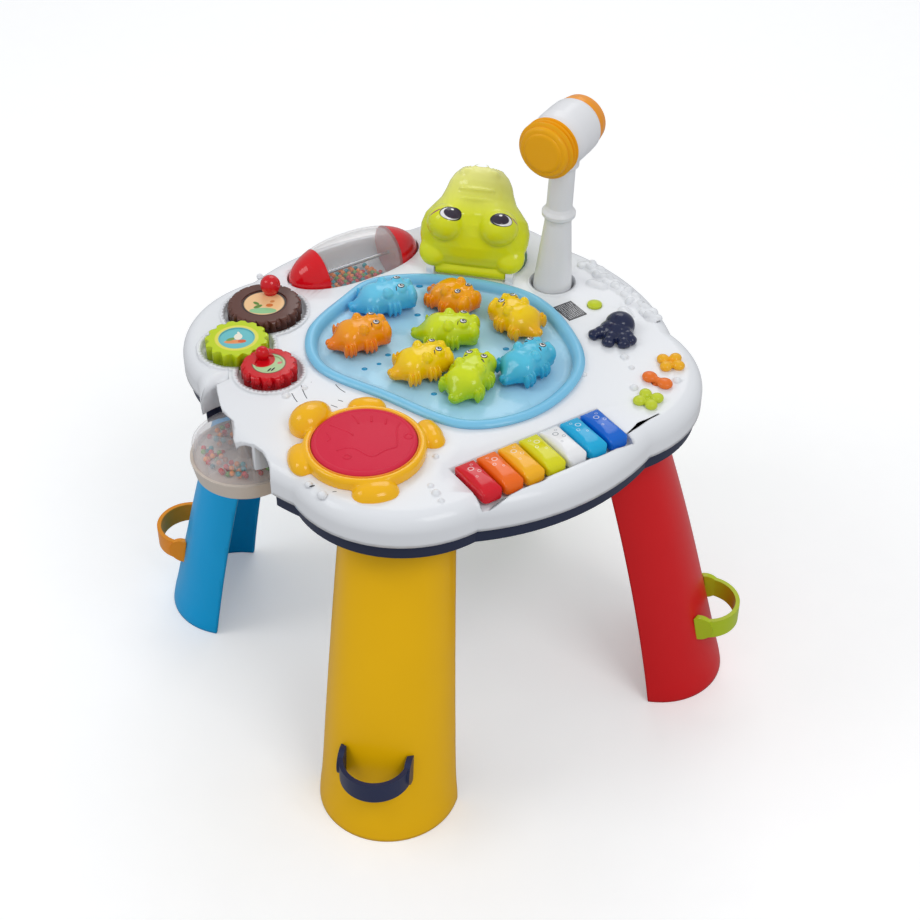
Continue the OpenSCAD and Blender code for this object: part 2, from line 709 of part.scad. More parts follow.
// Direction from one point to another, degrees
function heading(p, q) = atan2(q[1] - p[1], q[0] - p[0]);
turn_lime = 0;
lean_brown = heading(lime_at, brown_at);
lean_red = heading(lime_at, red_at);
// A tooth of the driver at angle a meets a gap of the follower at a + 180
function mesh_turn(lean, n_from, turn_from, n_to) =
    let (phase = n_from * (lean - turn_from)) lean + 180 + (phase + 180) / n_to;
turn_brown = mesh_turn(lean_brown, lime_teeth, turn_lime, brown_teeth);
turn_red = mesh_turn(lean_red, lime_teeth, turn_lime, red_teeth);
module gear_brown() { color("saddlebrown") gear(brown_teeth, brown_at, turn_brown, 4); }
module gear_lime() { color("greenyellow") gear(lime_teeth, lime_at, turn_lime, 2.5); }
module gear_red() {
    color("crimson") gear(red_teeth, red_at, turn_red, 4);
    color("crimson") on_deck(red_at + [-8, 8], 0, gear_top) cylinder(h = 4, r = 5);
    color("crimson") on_deck(red_at + [-8, 8], 0, gear_top + 4) sphere(6);
}
knob_at = brown_at + [1, 17];
module gear_knob() {
    color("crimson") on_deck(knob_at, 0, gear_top) {
        translate([0, 0, -0.01]) cylinder(h = 3, r = 6);
        translate([0, 0, 8]) sphere(9);
    }
}

// ---------- bead roller ----------

cap_x = 38;
axle_r = 1.6;
tube_wall = 2;
function spindle_at(x) = roller_r * sqrt(max(0, 1 - pow(abs(x) / roller_half, 2.3)));
// Outline of the clear middle out to half length l, drawn in by d
function tube_line(l, d) = concat([[-l, 0]],
    [for (i = [-8:8]) let (x = i * l / 8) [x, spindle_at(x) - d]], [[l, 0]]);
// Outline of one end cap, which starts at the clear middle
cap_line = concat([for (i = [0:10])
    let (x = cap_x + (roller_half - cap_x) * (1 - pow(1 - i / 10, 2))) [x, spindle_at(x)]], [[cap_x, 0]]);
module roller_place() { translate([roller_at[0], roller_at[1], roller_z]) rotate([0, 0, 45]) children(); }
module roller_tube() {
    color("lavender", 0.5) roller_place() difference() {
        spun_x(tube_line(cap_x, 0));
        spun_x(tube_line(cap_x - tube_wall, tube_wall));
        translate([-80, 0, 0]) rotate([0, 90, 0]) cylinder(h = 160, r = axle_r + fit);
    }
}
module roller_caps() {
    color("crimson") roller_place() difference() {
        for (s = [-1, 1]) spun_x([for (p = cap_line) [s * p[0], p[1]]]);
        translate([-80, 0, 0]) rotate([0, 90, 0]) cylinder(h = 160, r = axle_r + fit);
    }
}
module roller_axle() {
    color("silver") roller_place() translate([-roller_half - 3.4, 0, 0]) rotate([0, 90, 0])
        cylinder(h = 2 * roller_half + 6.8, r = axle_r);
}
bead_r = 2.4;
bead_step = 5.2;
// Loose beads resting in the lower part of a round tube along X
module roller_beads() {
    color("tomato") roller_place() for (i = [-5:5], j = [-3:3], k = [0:(i + j) % 2 == 0 ? 0 : 1]) {
        x = i * bead_step + (j % 2 == 0 ? 1.3 : -1.3);
        r = spindle_at(abs(x) + 4) - tube_wall - 0.4 - bead_r - k * bead_step;
        a = -104 + j * bead_step * 57.3 / max(r, 12);
        translate([x, r * cos(a), r * sin(a)]) sphere(bead_r, $fn = 16);
    }
}

// ---------- bead spinner ----------

dish_z = 267;
dish_h = 18;
cover_h = 15;
cover_z = dish_z + dish_h;
pin_hole = 3;
module spinner_dish() {
    color("tan") on_deck(spinner_at, 0, dish_z) difference() {
        union() {
            rotate_extrude($fn = 96) polygon([[0, 0], [spinner_r - 3, 0], [spinner_r - 0.5, 2.5],
                [spinner_r + 2.5, dish_h - 1], [spinner_r + 2.5, dish_h], [spinner_r, dish_h],
                [spinner_r - 2, dish_h - 3], [0, dish_h - 3]]);
            cylinder(h = dish_h + cover_h - 1, r = pin_hole + 3);
        }
        translate([0, 0, -1]) cylinder(h = 60, r = pin_hole + fit);
    }
}
cover_wall = 2;
module spinner_cover() {
    color("lavender", 0.5) on_deck(spinner_at, 0, cover_z) difference() {
        union() {
            difference() {
                rotate_extrude($fn = 96) polygon([[0, 0], [spinner_r, 0], [spinner_r, cover_h - 2],
                    [spinner_r - 2, cover_h], [0, cover_h]]);
                translate([0, 0, -1]) rotate_extrude($fn = 96)
                    polygon([[0, 0], [spinner_r - cover_wall, 0], [spinner_r - cover_wall, cover_h - 2],
                        [spinner_r - 3, cover_h - 1], [0, cover_h - 1]]);
            }
            for (a = [0:60:300]) rotate([0, 0, a]) translate([pin_hole + 3.5, -0.8, 0])
                cube([spinner_r - 5 - pin_hole, 1.6, cover_h - 1]);
        }
        translate([0, 0, -1]) cylinder(h = 40, r = pin_hole + 3.2);
    }
}
module spinner_beads() {
    color("tomato") on_deck(spinner_at, 0, cover_z - 3 + bead_r + 0.1)
        for (s = [0:5], i = [0:2], j = [0:2 + i], k = [0:1]) if ((s + i + j + k) % 4 != 0) {
            r = 19 + 6.4 * i + 3 * k;
            a = s * 60 + 30 + (j - (2 + i) / 2) * 5.2 * 57.3 / r;
            translate([r * cos(a), r * sin(a), k * 4.5]) sphere(bead_r, $fn = 16);
        }
}
module spinner_pin() {
    color("silver") on_deck(spinner_at, 0, dish_z - 3) {
        cylinder(h = 2.7, r = 6);
        cylinder(h = rim_z + 18 - dish_z + 3, r = pin_hole);
    }
}

// ---------- hammer ----------

grip_r = 17.5;
module hammer_frame() {
    translate([hammer_at[0], hammer_at[1], deck_z]) rotate([0, hammer_lean, 0])
        translate([0, 0, -deck_z]) children();
}
module hammer_handle() {
    color("gainsboro") hammer_frame() rotate_extrude($fn = 96) polygon([
        [0, socket_floor + 1.2], [grip_r - 2, socket_floor + 1.2], [grip_r - 0.6, socket_floor + 3],
        [grip_r, deck_z], [grip_r - 1.6, deck_z + 20], [13.2, deck_z + 52], [12, deck_z + 66],
        [12.4, deck_z + 70], [15, deck_z + 73], [15.2, deck_z + 76], [13, deck_z + 79],
        [11.6, deck_z + 82], [11.2, hammer_head_z - 20], [0, hammer_head_z - 20]]);
}
module head_frame() { hammer_frame() translate([0, 0, hammer_head_z]) rotate([0, 0, -108]) children(); }
module hammer_barrel() {
    color("white") head_frame() difference() {
        union() {
            spun_x([[-19, 0], [-19, barrel_r - 2], [-16, barrel_r - 0.4], [-8, barrel_r], [10, barrel_r],
                [18, barrel_r - 1.4], [24, barrel_r - 3.4], [24, 0]]);
            translate([0, 0, -barrel_r - 4]) cylinder(h = 12, r = 14);
        }
        translate([0, 0, -barrel_r - 10]) cylinder(h = barrel_r - 10, r = 11.9);
    }
}
module hammer_bellows() {
    color("gold") head_frame() spun_x(concat([[24.2, 0], [24.2, 21]],
        [for (i = [0:12]) [24.6 + i * 1.25, 24.6 + 2 * sin(i * 90 + 10)]], [[41, 23], [43, 20], [43.6, 0]]));
}
module hammer_end() {
    color("orange") head_frame() spun_x([[-19.2, 0], [-19.2, 23.4], [-24, 23.6], [-31, 22.4],
        [-36, 18.6], [-38.4, 11], [-39, 0]]);
}

// ---------- snapping head ----------

// Half width and crown height of the head along its length
head_shape = [[4, 31.5, 6], [7.6, 32.4, 10], [10.5, 41, 13], [18, 47.5, 19], [28, 50.2, 23],
    [38, 50.5, 25], [48, 47.5, 25], [56, 41, 23.5], [63, 35, 22.5], [71, 31.5, 22.5],
    [79, 29, 22], [86, 25, 19.5], [92, 19, 15], [96, 11, 9], [97, 5, 5]];
// Place of the two round bulges that carry the eyes, their width and height
eye_bulge = [23, 46, 11, 12];
function mound(x, s) = eye_bulge[3] * exp(-(x * x + pow(s - eye_bulge[1], 2)) / (2 * pow(eye_bulge[2], 2)));
function bulge(x, s) = mound(x - eye_bulge[0], s) + mound(x + eye_bulge[0], s);
head_steps = 20;
function head_ring(q, thin) = let (s = q[0] * head_len / 97) concat(
    [for (i = [0:head_steps]) let (a = 180 * i / head_steps, x = (q[1] - thin) * cos(a),
        z = (q[2] - thin) * pow(sin(a), 0.75) + bulge(x, s) * sin(a)) [x, s, z]]);
module head_shell() {
    difference() {
        loft([for (q = head_shape) head_ring(q, 0)]);
        translate([0, 2, -1]) loft([for (i = [0:len(head_shape) - 2]) head_ring(head_shape[i], 2.6)]);
    }
}
module snapper_head() {
    color("yellowgreen") on_deck(head_at, 0, hinge_z) rotate([head_open, 0, 0]) {
        difference() {
            union() {
                translate([0, 0, 2]) head_shell();
                translate([-lug_x + gap, 0, 0]) rotate([0, 90, 0]) cylinder(h = 2 * lug_x - 2 * gap, r = 5);
                translate([-lug_x + gap, 0, 1]) cube([2 * lug_x - 2 * gap, 9, 4]);
            }
            translate([-80, 0, 0]) rotate([0, 90, 0]) cylinder(h = 160, r = pin_r + fit);
        }
    }
}
module snapper_pin() {
    color("silver") on_deck(head_at, 0, hinge_z) translate([-lug_x - lug_w, 0, 0]) rotate([0, 90, 0])
        cylinder(h = 2 * (lug_x + lug_w), r = pin_r);
}
module jaw_line(d) {
    polygon(concat([for (q = head_shape) if (q[0] > 8) [max(q[1] - d, 1), min(q[0], 94 - d)]],
        [for (i = [len(head_shape) - 1:-1:0]) if (head_shape[i][0] > 8)
            [-max(head_shape[i][1] - d, 1), min(head_shape[i][0], 94 - d)]]));
}
module snapper_jaw() {
    color("seagreen") on_deck(head_at, 0, deck_z) difference() {
        linear_extrude(5) jaw_line(5);
        translate([0, 0, 1.6]) linear_extrude(10) jaw_line(8);
    }
}

// ---------- display and buttons ----------

module display_window() {
    color("dimgray") on_deck(window_at, 45, deck_z - 2)
        translate([0.2 - window_size[0] / 2, 0.2 - window_size[1] / 2, 0])
            cube([window_size[0] - 0.4, window_size[1] - 0.4, 2.4]);
}
flange_t = 3;
flange_low = -wall - gap - flange_t;
module mode_button() {
    color("greenyellow") on_deck(mode_at) {
        translate([0, 0, -6]) cylinder(h = 8, r = 6.5);
        intersection() {
            cylinder(h = 5, r = 6.5);
            translate([0, 0, 4 - 10]) sphere(10);
        }
        translate([0, 0, flange_low]) cylinder(h = flange_t, r = 8.5);
    }
}
// Round-headed sea creature: its head, and the angle and length of each of its four arms
sea_head_r = 13.5;
sea_arms = [[-142, 28], [-103, 27.5], [-70, 28], [-50, 24.5]];
module sea_line() {
    circle(sea_head_r);
    translate([-3, -6]) circle(sea_head_r - 2);
    for (a = sea_arms) rotate([0, 0, a[0]]) {
        translate([0, -5]) square([a[1] - 4, 10]);
        translate([a[1] - 4, 0]) circle(4.6, $fn = 32);
    }
}
module sea_button() {
    color("midnightblue") on_deck(sea_at) {
        translate([0, 0, 2]) {
            puffy(9, 60) sea_line();
            intersection() {
                translate([1, 2, 0.5]) sphere(sea_head_r);
                cylinder(h = sea_head_r + 1, r = sea_head_r + 4);
            }
        }
        translate([0, 0, -6]) cylinder(h = 9, r = 8);
        translate([0, 0, flange_low]) cylinder(h = flange_t, r = 10);
    }
}
module petals(n, r, off) {
    circle(off * 0.9, $fn = 32);
    for (k = [0:n - 1]) rotate([0, 0, k * 360 / n + 45]) translate([off, 0]) circle(r, $fn = 32);
}
module shape_button(i, tint) {
    color(tint) on_deck(shape_at[i], shape_turn[i]) {
        translate([0, 0, 1.8]) puffy(4.4, 24) children();
        translate([0, 0, -6]) cylinder(h = 8, r = 5);
        translate([0, 0, flange_low]) cylinder(h = flange_t, r = 7);
    }
}
module shape_button_1() { shape_button(0, "orange") petals(4, 5, 6.6); }
module shape_button_2() { shape_button(1, "darkorange") petals(2, 6, 7.6); }
module shape_button_3() { shape_button(2, "greenyellow") petals(4, 5, 6.6); }

// ---------- inside and underneath ----------

module circuit_board() {
    color("green") difference() {
        translate([-95, -60, board_z]) cube([190, 130, 1.6]);
        for (p = post_at) translate([p[0], p[1], board_z - 1]) cylinder(h = 4, r = 1.5);
    }
}
module contact_mat() {
    color("gray") {
        translate([-92, -58, mat_z]) cube([184, 122, 1.5]);
        for (a = animals) on_deck(a[0], 0, mat_z + 1.4) cylinder(h = 1.6, r = 5);
    }
}
module speaker() {
    color("black") translate([speaker_at[0], speaker_at[1], base_z + wall]) {
        cylinder(h = 3, r = 22);
        cylinder(h = 6, r1 = 18, r2 = 12);
        cylinder(h = 7.6, r = 10);
    }
}
module battery_door() {
    color("darkslateblue") difference() {
        translate([door_at[0] - door[0] / 2 + gap, door_at[1] - door[1] / 2 + gap, base_z - 12.4])
            cube([door[0] - 2 * gap, door[1] - 2 * gap, 2.4]);
        translate([door_at[0], door_at[1] - door[1] / 2 + 7, base_z - 14]) cylinder(h = 6, r = 1.4);
        translate([door_at[0], door_at[1] - door[1] / 2 + 7, base_z - 13]) cylinder(h = 2.8, r = 3.1);
    }
}
module power_switch() {
    color("black") translate([switch_at[0] - 3, switch_at[1], base_z - 2.5]) {
        translate([-4, -3, 0]) cube([8, 6, wall + 2]);
        translate([-6, -5, wall + 2.8]) cube([12, 10, 1.5]);
        translate([-3, -3, wall + 1]) cube([6, 6, 2.5]);
    }
}

top_shell();
base_shell();
screws();
leg_front();
leg_right();
leg_back();
leg_left();
leg_loop_front();
leg_loop_right();
leg_loop_back();
leg_loop_left();
pond_tray();
animal_1();
animal_2();
animal_3();
animal_4();
animal_5();
animal_6();
animal_7();
animal_8();
drum_ring();
drum_pad();
key_1();
key_2();
key_3();
key_4();
key_5();
key_6();
key_7();
key_rod();
gear_brown();
gear_lime();
gear_red();
gear_knob();
roller_tube();
roller_caps();
roller_beads();
roller_axle();
spinner_dish();
spinner_cover();
spinner_beads();
spinner_pin();
hammer_handle();
hammer_barrel();
hammer_bellows();
hammer_end();
snapper_head();
snapper_pin();
snapper_jaw();
display_window();
mode_button();
sea_button();
shape_button_1();
shape_button_2();
shape_button_3();
circuit_board();
contact_mat();
speaker();
battery_door();
power_switch();
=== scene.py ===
import math

import bmesh
import bpy
from mathutils import Matrix, Vector


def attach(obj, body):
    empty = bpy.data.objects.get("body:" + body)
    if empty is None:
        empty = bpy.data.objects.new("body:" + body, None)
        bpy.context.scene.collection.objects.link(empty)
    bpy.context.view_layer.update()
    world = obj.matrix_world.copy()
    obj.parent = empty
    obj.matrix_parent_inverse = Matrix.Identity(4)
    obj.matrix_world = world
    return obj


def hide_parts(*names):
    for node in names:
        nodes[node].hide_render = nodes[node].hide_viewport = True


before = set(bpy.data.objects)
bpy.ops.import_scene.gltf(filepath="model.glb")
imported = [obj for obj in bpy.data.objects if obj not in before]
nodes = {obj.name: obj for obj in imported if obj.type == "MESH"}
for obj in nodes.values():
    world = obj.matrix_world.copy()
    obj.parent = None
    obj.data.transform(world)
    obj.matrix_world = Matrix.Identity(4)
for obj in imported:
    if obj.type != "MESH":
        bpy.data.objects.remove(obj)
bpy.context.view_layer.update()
MM = .001

# ---------- the studio ----------
# A pale sweep of paper under the table, one large soft lamp at each side and an
# even sky. The camera stands in front of the drum and looks down on the deck.

scene = bpy.context.scene
scene.view_settings.view_transform = "Standard"
eye_at = Vector((.2726, -1.1756, 1.1912))
look = Vector((-.1637, .7573, -.6322)).normalized()
aside = look.cross(Vector((-.1335, .6178, .7749))).normalized()
upward = aside.cross(look)
lens, film, frame_px = 67.04, 36, 920
camera = bpy.data.objects.new("camera", bpy.data.cameras.new("camera"))
camera.data.lens = lens
camera.data.sensor_width = film
camera.matrix_world = (Matrix.Translation(eye_at)
                       @ Matrix((aside, upward, -look)).transposed().to_4x4())
scene.collection.objects.link(camera)
scene.camera = camera


def only(*objs):
    """Deselects everything but these objects."""
    bpy.ops.object.select_all(action="DESELECT")
    for o in objs:
        o.select_set(True)
    bpy.context.view_layer.objects.active = objs[0]


def lamp(name, place, size, power):
    """A soft square lamp that points at the table."""
    bpy.ops.object.light_add(type="AREA", location=place)
    o = bpy.context.object
    o.name = name
    o.data.energy = power
    o.data.size = size
    o.rotation_euler = (Vector((0, 0, .3)) - Vector(place)).to_track_quat("-Z", "Y").to_euler()


lamp("lamp_right", (1.4, -1.3, 2.4), 1.1, 17)
lamp("lamp_left", (-1.7, -.7, 2.1), 1, 10)
lamp("lamp_back", (-.2, 1.9, 2.2), 1.3, 10)
sky_light = .56
sky = bpy.data.worlds.new("sky")
sky.use_nodes = True
sky.node_tree.nodes["Background"].inputs["Color"].default_value = (.96, .98, 1, 1)
sky.node_tree.nodes["Background"].inputs["Strength"].default_value = sky_light
scene.world = sky


def tone(r, g, b):
    """Colour of a paint chip, 0 to 255 as seen on screen, as the shader's values."""
    return tuple(c / 12.92 if c <= .04045 else ((c + .055) / 1.055) ** 2.4
                 for c in (r / 255, g / 255, b / 255)) + (1,)


def node(tree, kind, values=None, **settings):
    """Adds a shader node; values are sockets by name or number, a socket links."""
    n = tree.nodes.new("ShaderNode" + kind)
    for key, value in settings.items():
        setattr(n, key, value)
    for key, value in (values or {}).items():
        if isinstance(value, bpy.types.NodeSocket):
            tree.links.new(value, n.inputs[key])
        else:
            n.inputs[key].default_value = value
    return n


def math_node(tree, operation, *values):
    return node(tree, "Math", dict(enumerate(values)), operation=operation).outputs[0]


def blend_colour(tree, amount, a, b):
    n = node(tree, "Mix", data_type="RGBA")
    for socket, value in ((n.inputs[0], amount), (n.inputs[6], a), (n.inputs[7], b)):
        if isinstance(value, bpy.types.NodeSocket):
            tree.links.new(value, socket)
        else:
            socket.default_value = value
    return n.outputs[2]


bpy.ops.mesh.primitive_plane_add(size=8)
paper = bpy.context.object
paper.name = "paper_floor"
paper_white = bpy.data.materials.new("paper_white")
paper_white.use_nodes = True
tree = paper_white.node_tree
fibres = node(tree, "TexNoise", {"Vector": node(tree, "TexCoord").outputs["Object"], "Scale": 40})
# what the camera sees is bright paper; what lights the table from below is a duller one
bounce_grey, sheet_glow = (.52, .52, .53, 1), .24
seen = node(tree, "LightPath").outputs["Is Camera Ray"]
sheet = blend_colour(tree, fibres.outputs[0], (.93, .93, .935, 1), (.96, .96, .96, 1))
tree.links.new(blend_colour(tree, seen, bounce_grey, sheet),
               tree.nodes["Principled BSDF"].inputs["Base Color"])
tree.links.new(math_node(tree, "MULTIPLY", seen, sheet_glow),
               tree.nodes["Principled BSDF"].inputs["Emission Strength"])
tree.nodes["Principled BSDF"].inputs["Roughness"].default_value = .8
tree.nodes["Principled BSDF"].inputs["Emission Color"].default_value = (1, 1, 1, 1)
paper.data.materials.append(paper_white)

# ---------- the white upper shell ----------
# One injection moulding in glossy white ABS: a flat play deck with a rounded edge and
# four lobes. Pockets, beds and knuckles are moulded in; screws hold it from below.

# clouded colour, fine grain, long rub marks, and edges that are rounded, paler and duller
skin = bpy.data.node_groups.new("moulded_skin", "ShaderNodeTree")
for label, kind, start in (("Colour", "NodeSocketColor", (.8, .8, .8, 1)),
                           ("Roughness", "NodeSocketFloat", .3),
                           ("Mottle", "NodeSocketFloat", .05),
                           ("Grain", "NodeSocketFloat", .1),
                           ("Wear", "NodeSocketFloat", .3),
                           ("Edge radius", "NodeSocketFloat", .0007)):
    skin.interface.new_socket(label, in_out="INPUT", socket_type=kind).default_value = start
for label, kind in (("Colour", "NodeSocketColor"), ("Roughness", "NodeSocketFloat"),
                    ("Normal", "NodeSocketVector")):
    skin.interface.new_socket(label, in_out="OUTPUT", socket_type=kind)
given = skin.nodes.new("NodeGroupInput")
shown = skin.nodes.new("NodeGroupOutput")
here = node(skin, "TexCoord").outputs["Object"]
cloud = node(skin, "TexNoise", {"Vector": here, "Scale": 14, "Detail": 3}).outputs[0]
speck = node(skin, "TexNoise", {"Vector": here, "Scale": 950, "Detail": 1}).outputs[0]
rubbed = node(skin, "Mapping", {"Vector": here, "Rotation": (0, 0, .6), "Scale": (420, 18, 60)})
rub = node(skin, "TexNoise", {"Vector": rubbed.outputs[0], "Scale": 1, "Detail": 4}).outputs[0]
scuff = node(skin, "MapRange", {0: rub, 1: .66, 2: .78}).outputs[0]
soft_edge = node(skin, "Bevel", {"Radius": given.outputs["Edge radius"]}, samples=4)
bend = node(skin, "VectorMath", {0: soft_edge.outputs[0],
                                 1: node(skin, "NewGeometry").outputs["Normal"]},
            operation="DOT_PRODUCT").outputs["Value"]
edge = node(skin, "MapRange", {0: bend, 1: .995, 2: .8}).outputs[0]
worn = math_node(skin, "MULTIPLY", edge, given.outputs["Wear"])
drift = math_node(skin, "MULTIPLY", math_node(skin, "SUBTRACT", cloud, .5),
                  given.outputs["Mottle"])
level = math_node(skin, "ADD", math_node(skin, "MULTIPLY_ADD", drift, 2, 1),
                  math_node(skin, "MULTIPLY", worn, .12))
tinted = node(skin, "HueSaturation", {"Color": given.outputs["Colour"], "Value": level})
skin.links.new(tinted.outputs[0], shown.inputs["Colour"])
rubbed_dull = math_node(skin, "MULTIPLY_ADD", scuff, .03, given.outputs["Roughness"])
uneven = math_node(skin, "MULTIPLY_ADD", cloud, .08, math_node(skin, "MULTIPLY", worn, .15))
skin.links.new(math_node(skin, "ADD", rubbed_dull, uneven), shown.inputs["Roughness"])
grit = node(skin, "Bump", {"Strength": given.outputs["Grain"], "Distance": .0003,
                           "Height": speck, "Normal": soft_edge.outputs[0]})
skin.links.new(grit.outputs[0], shown.inputs["Normal"])


def plastic(name, colour, rough=.25, coat=.12, paint=None, mottle=.05, grain=.1, wear=.3,
            sub=0., edge_radius=.0007):
    """A moulded plastic; paint(tree, colour) may return a changed colour socket."""
    m = bpy.data.materials.new(name)
    m.use_nodes = True
    tree = m.node_tree
    if paint:
        colour = paint(tree, colour)
    s = node(tree, "Group", node_tree=skin)
    for key, value in (("Colour", colour), ("Roughness", rough), ("Mottle", mottle),
                       ("Grain", grain), ("Wear", wear), ("Edge radius", edge_radius)):
        if isinstance(value, bpy.types.NodeSocket):
            tree.links.new(value, s.inputs[key])
        else:
            s.inputs[key].default_value = value
    b = tree.nodes["Principled BSDF"]
    tree.links.new(s.outputs["Colour"], b.inputs["Base Color"])
    tree.links.new(s.outputs["Roughness"], b.inputs["Roughness"])
    tree.links.new(s.outputs["Normal"], b.inputs["Normal"])
    b.inputs["Coat Weight"].default_value = coat
    b.inputs["Specular IOR Level"].default_value = .22
    b.inputs["Coat Roughness"].default_value = .05
    b.inputs["Subsurface Weight"].default_value = sub
    b.inputs["Subsurface Radius"].default_value = (1, 1, 1)
    b.inputs["Subsurface Scale"].default_value = .006
    return m


def cad_copy(name, node_name):
    """A copy of a solid with its loose corners joined, ready to be worked on."""
    o = bpy.data.objects.new(name, nodes[node_name].data.copy())
    scene.collection.objects.link(o)
    only(o)
    bpy.ops.object.mode_set(mode="EDIT")
    bpy.ops.mesh.select_all(action="SELECT")
    bpy.ops.mesh.remove_doubles(threshold=.00001)
    bpy.ops.object.mode_set(mode="OBJECT")
    return o


def modify(o, kind, **values):
    """Adds a modifier to o and applies it."""
    only(o)
    m = o.modifiers.new(kind.lower(), kind)
    for key, value in values.items():
        setattr(m, key, value)
    bpy.ops.object.modifier_apply(modifier=m.name)


def pick(o, kind, test):
    """Opens o in edit mode with only the faces, edges or verts that pass the test."""
    only(o)
    bpy.ops.object.mode_set(mode="EDIT")
    bpy.ops.mesh.select_mode(type={"faces": "FACE", "edges": "EDGE", "verts": "VERT"}[kind])
    bpy.ops.mesh.select_all(action="DESELECT")
    bm = bmesh.from_edit_mesh(o.data)
    for e in getattr(bm, kind):
        e.select_set(test(e))
    bm.select_flush_mode()
    bmesh.update_edit_mesh(o.data)
    return bm


def done(o, body, *materials, instead=(), sharp=35):
    """Settles a finished piece: place in its mesh, shading, finish and body."""
    bpy.ops.object.mode_set(mode="OBJECT")
    only(o)
    bpy.ops.object.transform_apply(location=True, rotation=True, scale=True)
    bpy.ops.object.shade_smooth_by_angle(angle=math.radians(sharp))
    if materials:
        o.data.materials.clear()
        for m in materials:
            o.data.materials.append(m)
    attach(o, body)
    if instead:
        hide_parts(*instead)
    return o


def dress(m, *names):
    """Gives CAD nodes their finish."""
    for name in names:
        o = nodes[name]
        o.data.materials.clear()
        o.data.materials.append(m)


deck_z, edge_round = .330, .015
side_r, lobe_r, lobe_off = .208, .099, .129
crease = math.acos((side_r ** 2 + lobe_off ** 2 - lobe_r ** 2) / (2 * side_r * lobe_off))


def true_reach(angle, z):
    """Distance of the shell's outer skin from the middle, at an angle and height."""
    t = min(1, max(0, (z - deck_z + edge_round) / edge_round))
    inset = edge_round * (1 - math.sqrt(1 - t * t))
    f = (angle + math.pi / 4) % (math.pi / 2) - math.pi / 4
    if abs(f) > crease:
        return side_r - inset
    return max(side_r - inset, lobe_off * math.cos(f)
               + math.sqrt((lobe_r - inset) ** 2 - (lobe_off * math.sin(f)) ** 2))


def off_skin(co):
    return abs(math.hypot(co.x, co.y) - true_reach(math.atan2(co.y, co.x), co.z))


white = plastic("glossy_white", tone(240, 242, 246), rough=.2, coat=.2, mottle=.012, grain=.05,
                wear=.1, edge_radius=.0016)
shell = cad_copy("white_shell", "top_shell")
# a few facets beside the key bed are folded over their neighbours; up to four edges between
# a facet that looks up and one that looks down are turned, which leaves part of the fold
level = .99
bm = pick(shell, "edges", lambda e: False)
for _ in range(4):
    folds = [e for e in bm.edges
             if all(v.co.x > .17 and -.09 < v.co.y < -.04 and v.co.z > deck_z - MM for v in e.verts)
             and sorted(f.normal.z > 0 for f in e.link_faces) == [False, True]
             and all(abs(f.normal.z) > level for f in e.link_faces)]
    bmesh.ops.rotate_edges(bm, edges=folds[:1])
    bm.normal_update()
bmesh.update_edit_mesh(shell.data)
bpy.ops.object.mode_set(mode="OBJECT")
# the flat facets of the outer skin are divided and drawn out to the true curve
near_skin = .0019
pick(shell, "faces", lambda f: abs(f.normal.z) < .999 and all(
    off_skin(v.co) < near_skin and v.co.z < deck_z + .0001 for v in f.verts))
bpy.ops.mesh.subdivide(number_cuts=3)
bm = bmesh.from_edit_mesh(shell.data)
for v in bm.verts:
    if v.select and off_skin(v.co) < near_skin:
        r = true_reach(math.atan2(v.co.y, v.co.x), v.co.z) / math.hypot(v.co.x, v.co.y)
        v.co.x *= r
        v.co.y *= r
bmesh.update_edit_mesh(shell.data)
done(shell, "table", white, instead=["top_shell"], sharp=32)
modify(shell, "WEIGHTED_NORMAL", keep_sharp=True, weight=80)

# ---------- the coral on the deck ----------
# Clusters of small rounded bumps on the white deck behind the buttons and the display.
# They are moulded in one with the shell, in the same glossy ABS.


def lumps_to_skin(name, lumps, voxel, place=Matrix(), start=None, smooth=5):
    """Grows ball-shaped lumps [centre, radii, turn] in mm and a start into one skin."""
    parts = [start] if start else []
    for centre, radii, turn in lumps:
        bpy.ops.mesh.primitive_uv_sphere_add(segments=24, ring_count=16, radius=MM)
        ball = bpy.context.object
        ball.data.transform(place @ Matrix.Translation(Vector(centre) * MM)
                            @ Matrix.Rotation(math.radians(turn), 4, "Z")
                            @ Matrix.Diagonal((*radii, 1)))
        parts.append(ball)
    only(*parts)
    bpy.ops.object.join()
    o = bpy.context.object
    o.name = name
    modify(o, "REMESH", mode="VOXEL", voxel_size=voxel * MM)
    modify(o, "SMOOTH", factor=.5, iterations=smooth)
    return o


coral_rows = ((112, 152, -42, 24), (132, 132, -40, 26), (152, 112, -46, 22), (170, 92, -50, 20))
row_bumps = 7
coral = []
for x, y, turn, length in coral_rows:
    a = math.radians(turn)
    for k in range(row_bumps):
        along, off = (k / (row_bumps - 1) - .5) * length, 4.5 * math.sin(k * 2.4 + x)
        centre = (x + along * math.cos(a) - off * math.sin(a),
                  y + along * math.sin(a) + off * math.cos(a), 330.5)
        radii = (5 + math.sin(k * 3.1 + y), 4.4 + math.cos(k * 1.7),
                 4 + 1.2 * math.sin(k * 1.9 + x))
        coral.append((centre, radii, turn))
done(lumps_to_skin("deck_coral", coral, .8, smooth=6), "table", white, sharp=60)

# ---------- the dark lower shell ----------
# A navy ABS tray screwed up into the white shell, with speaker slots, a battery
# door and a slide switch. The fittings inside it hang on its posts.

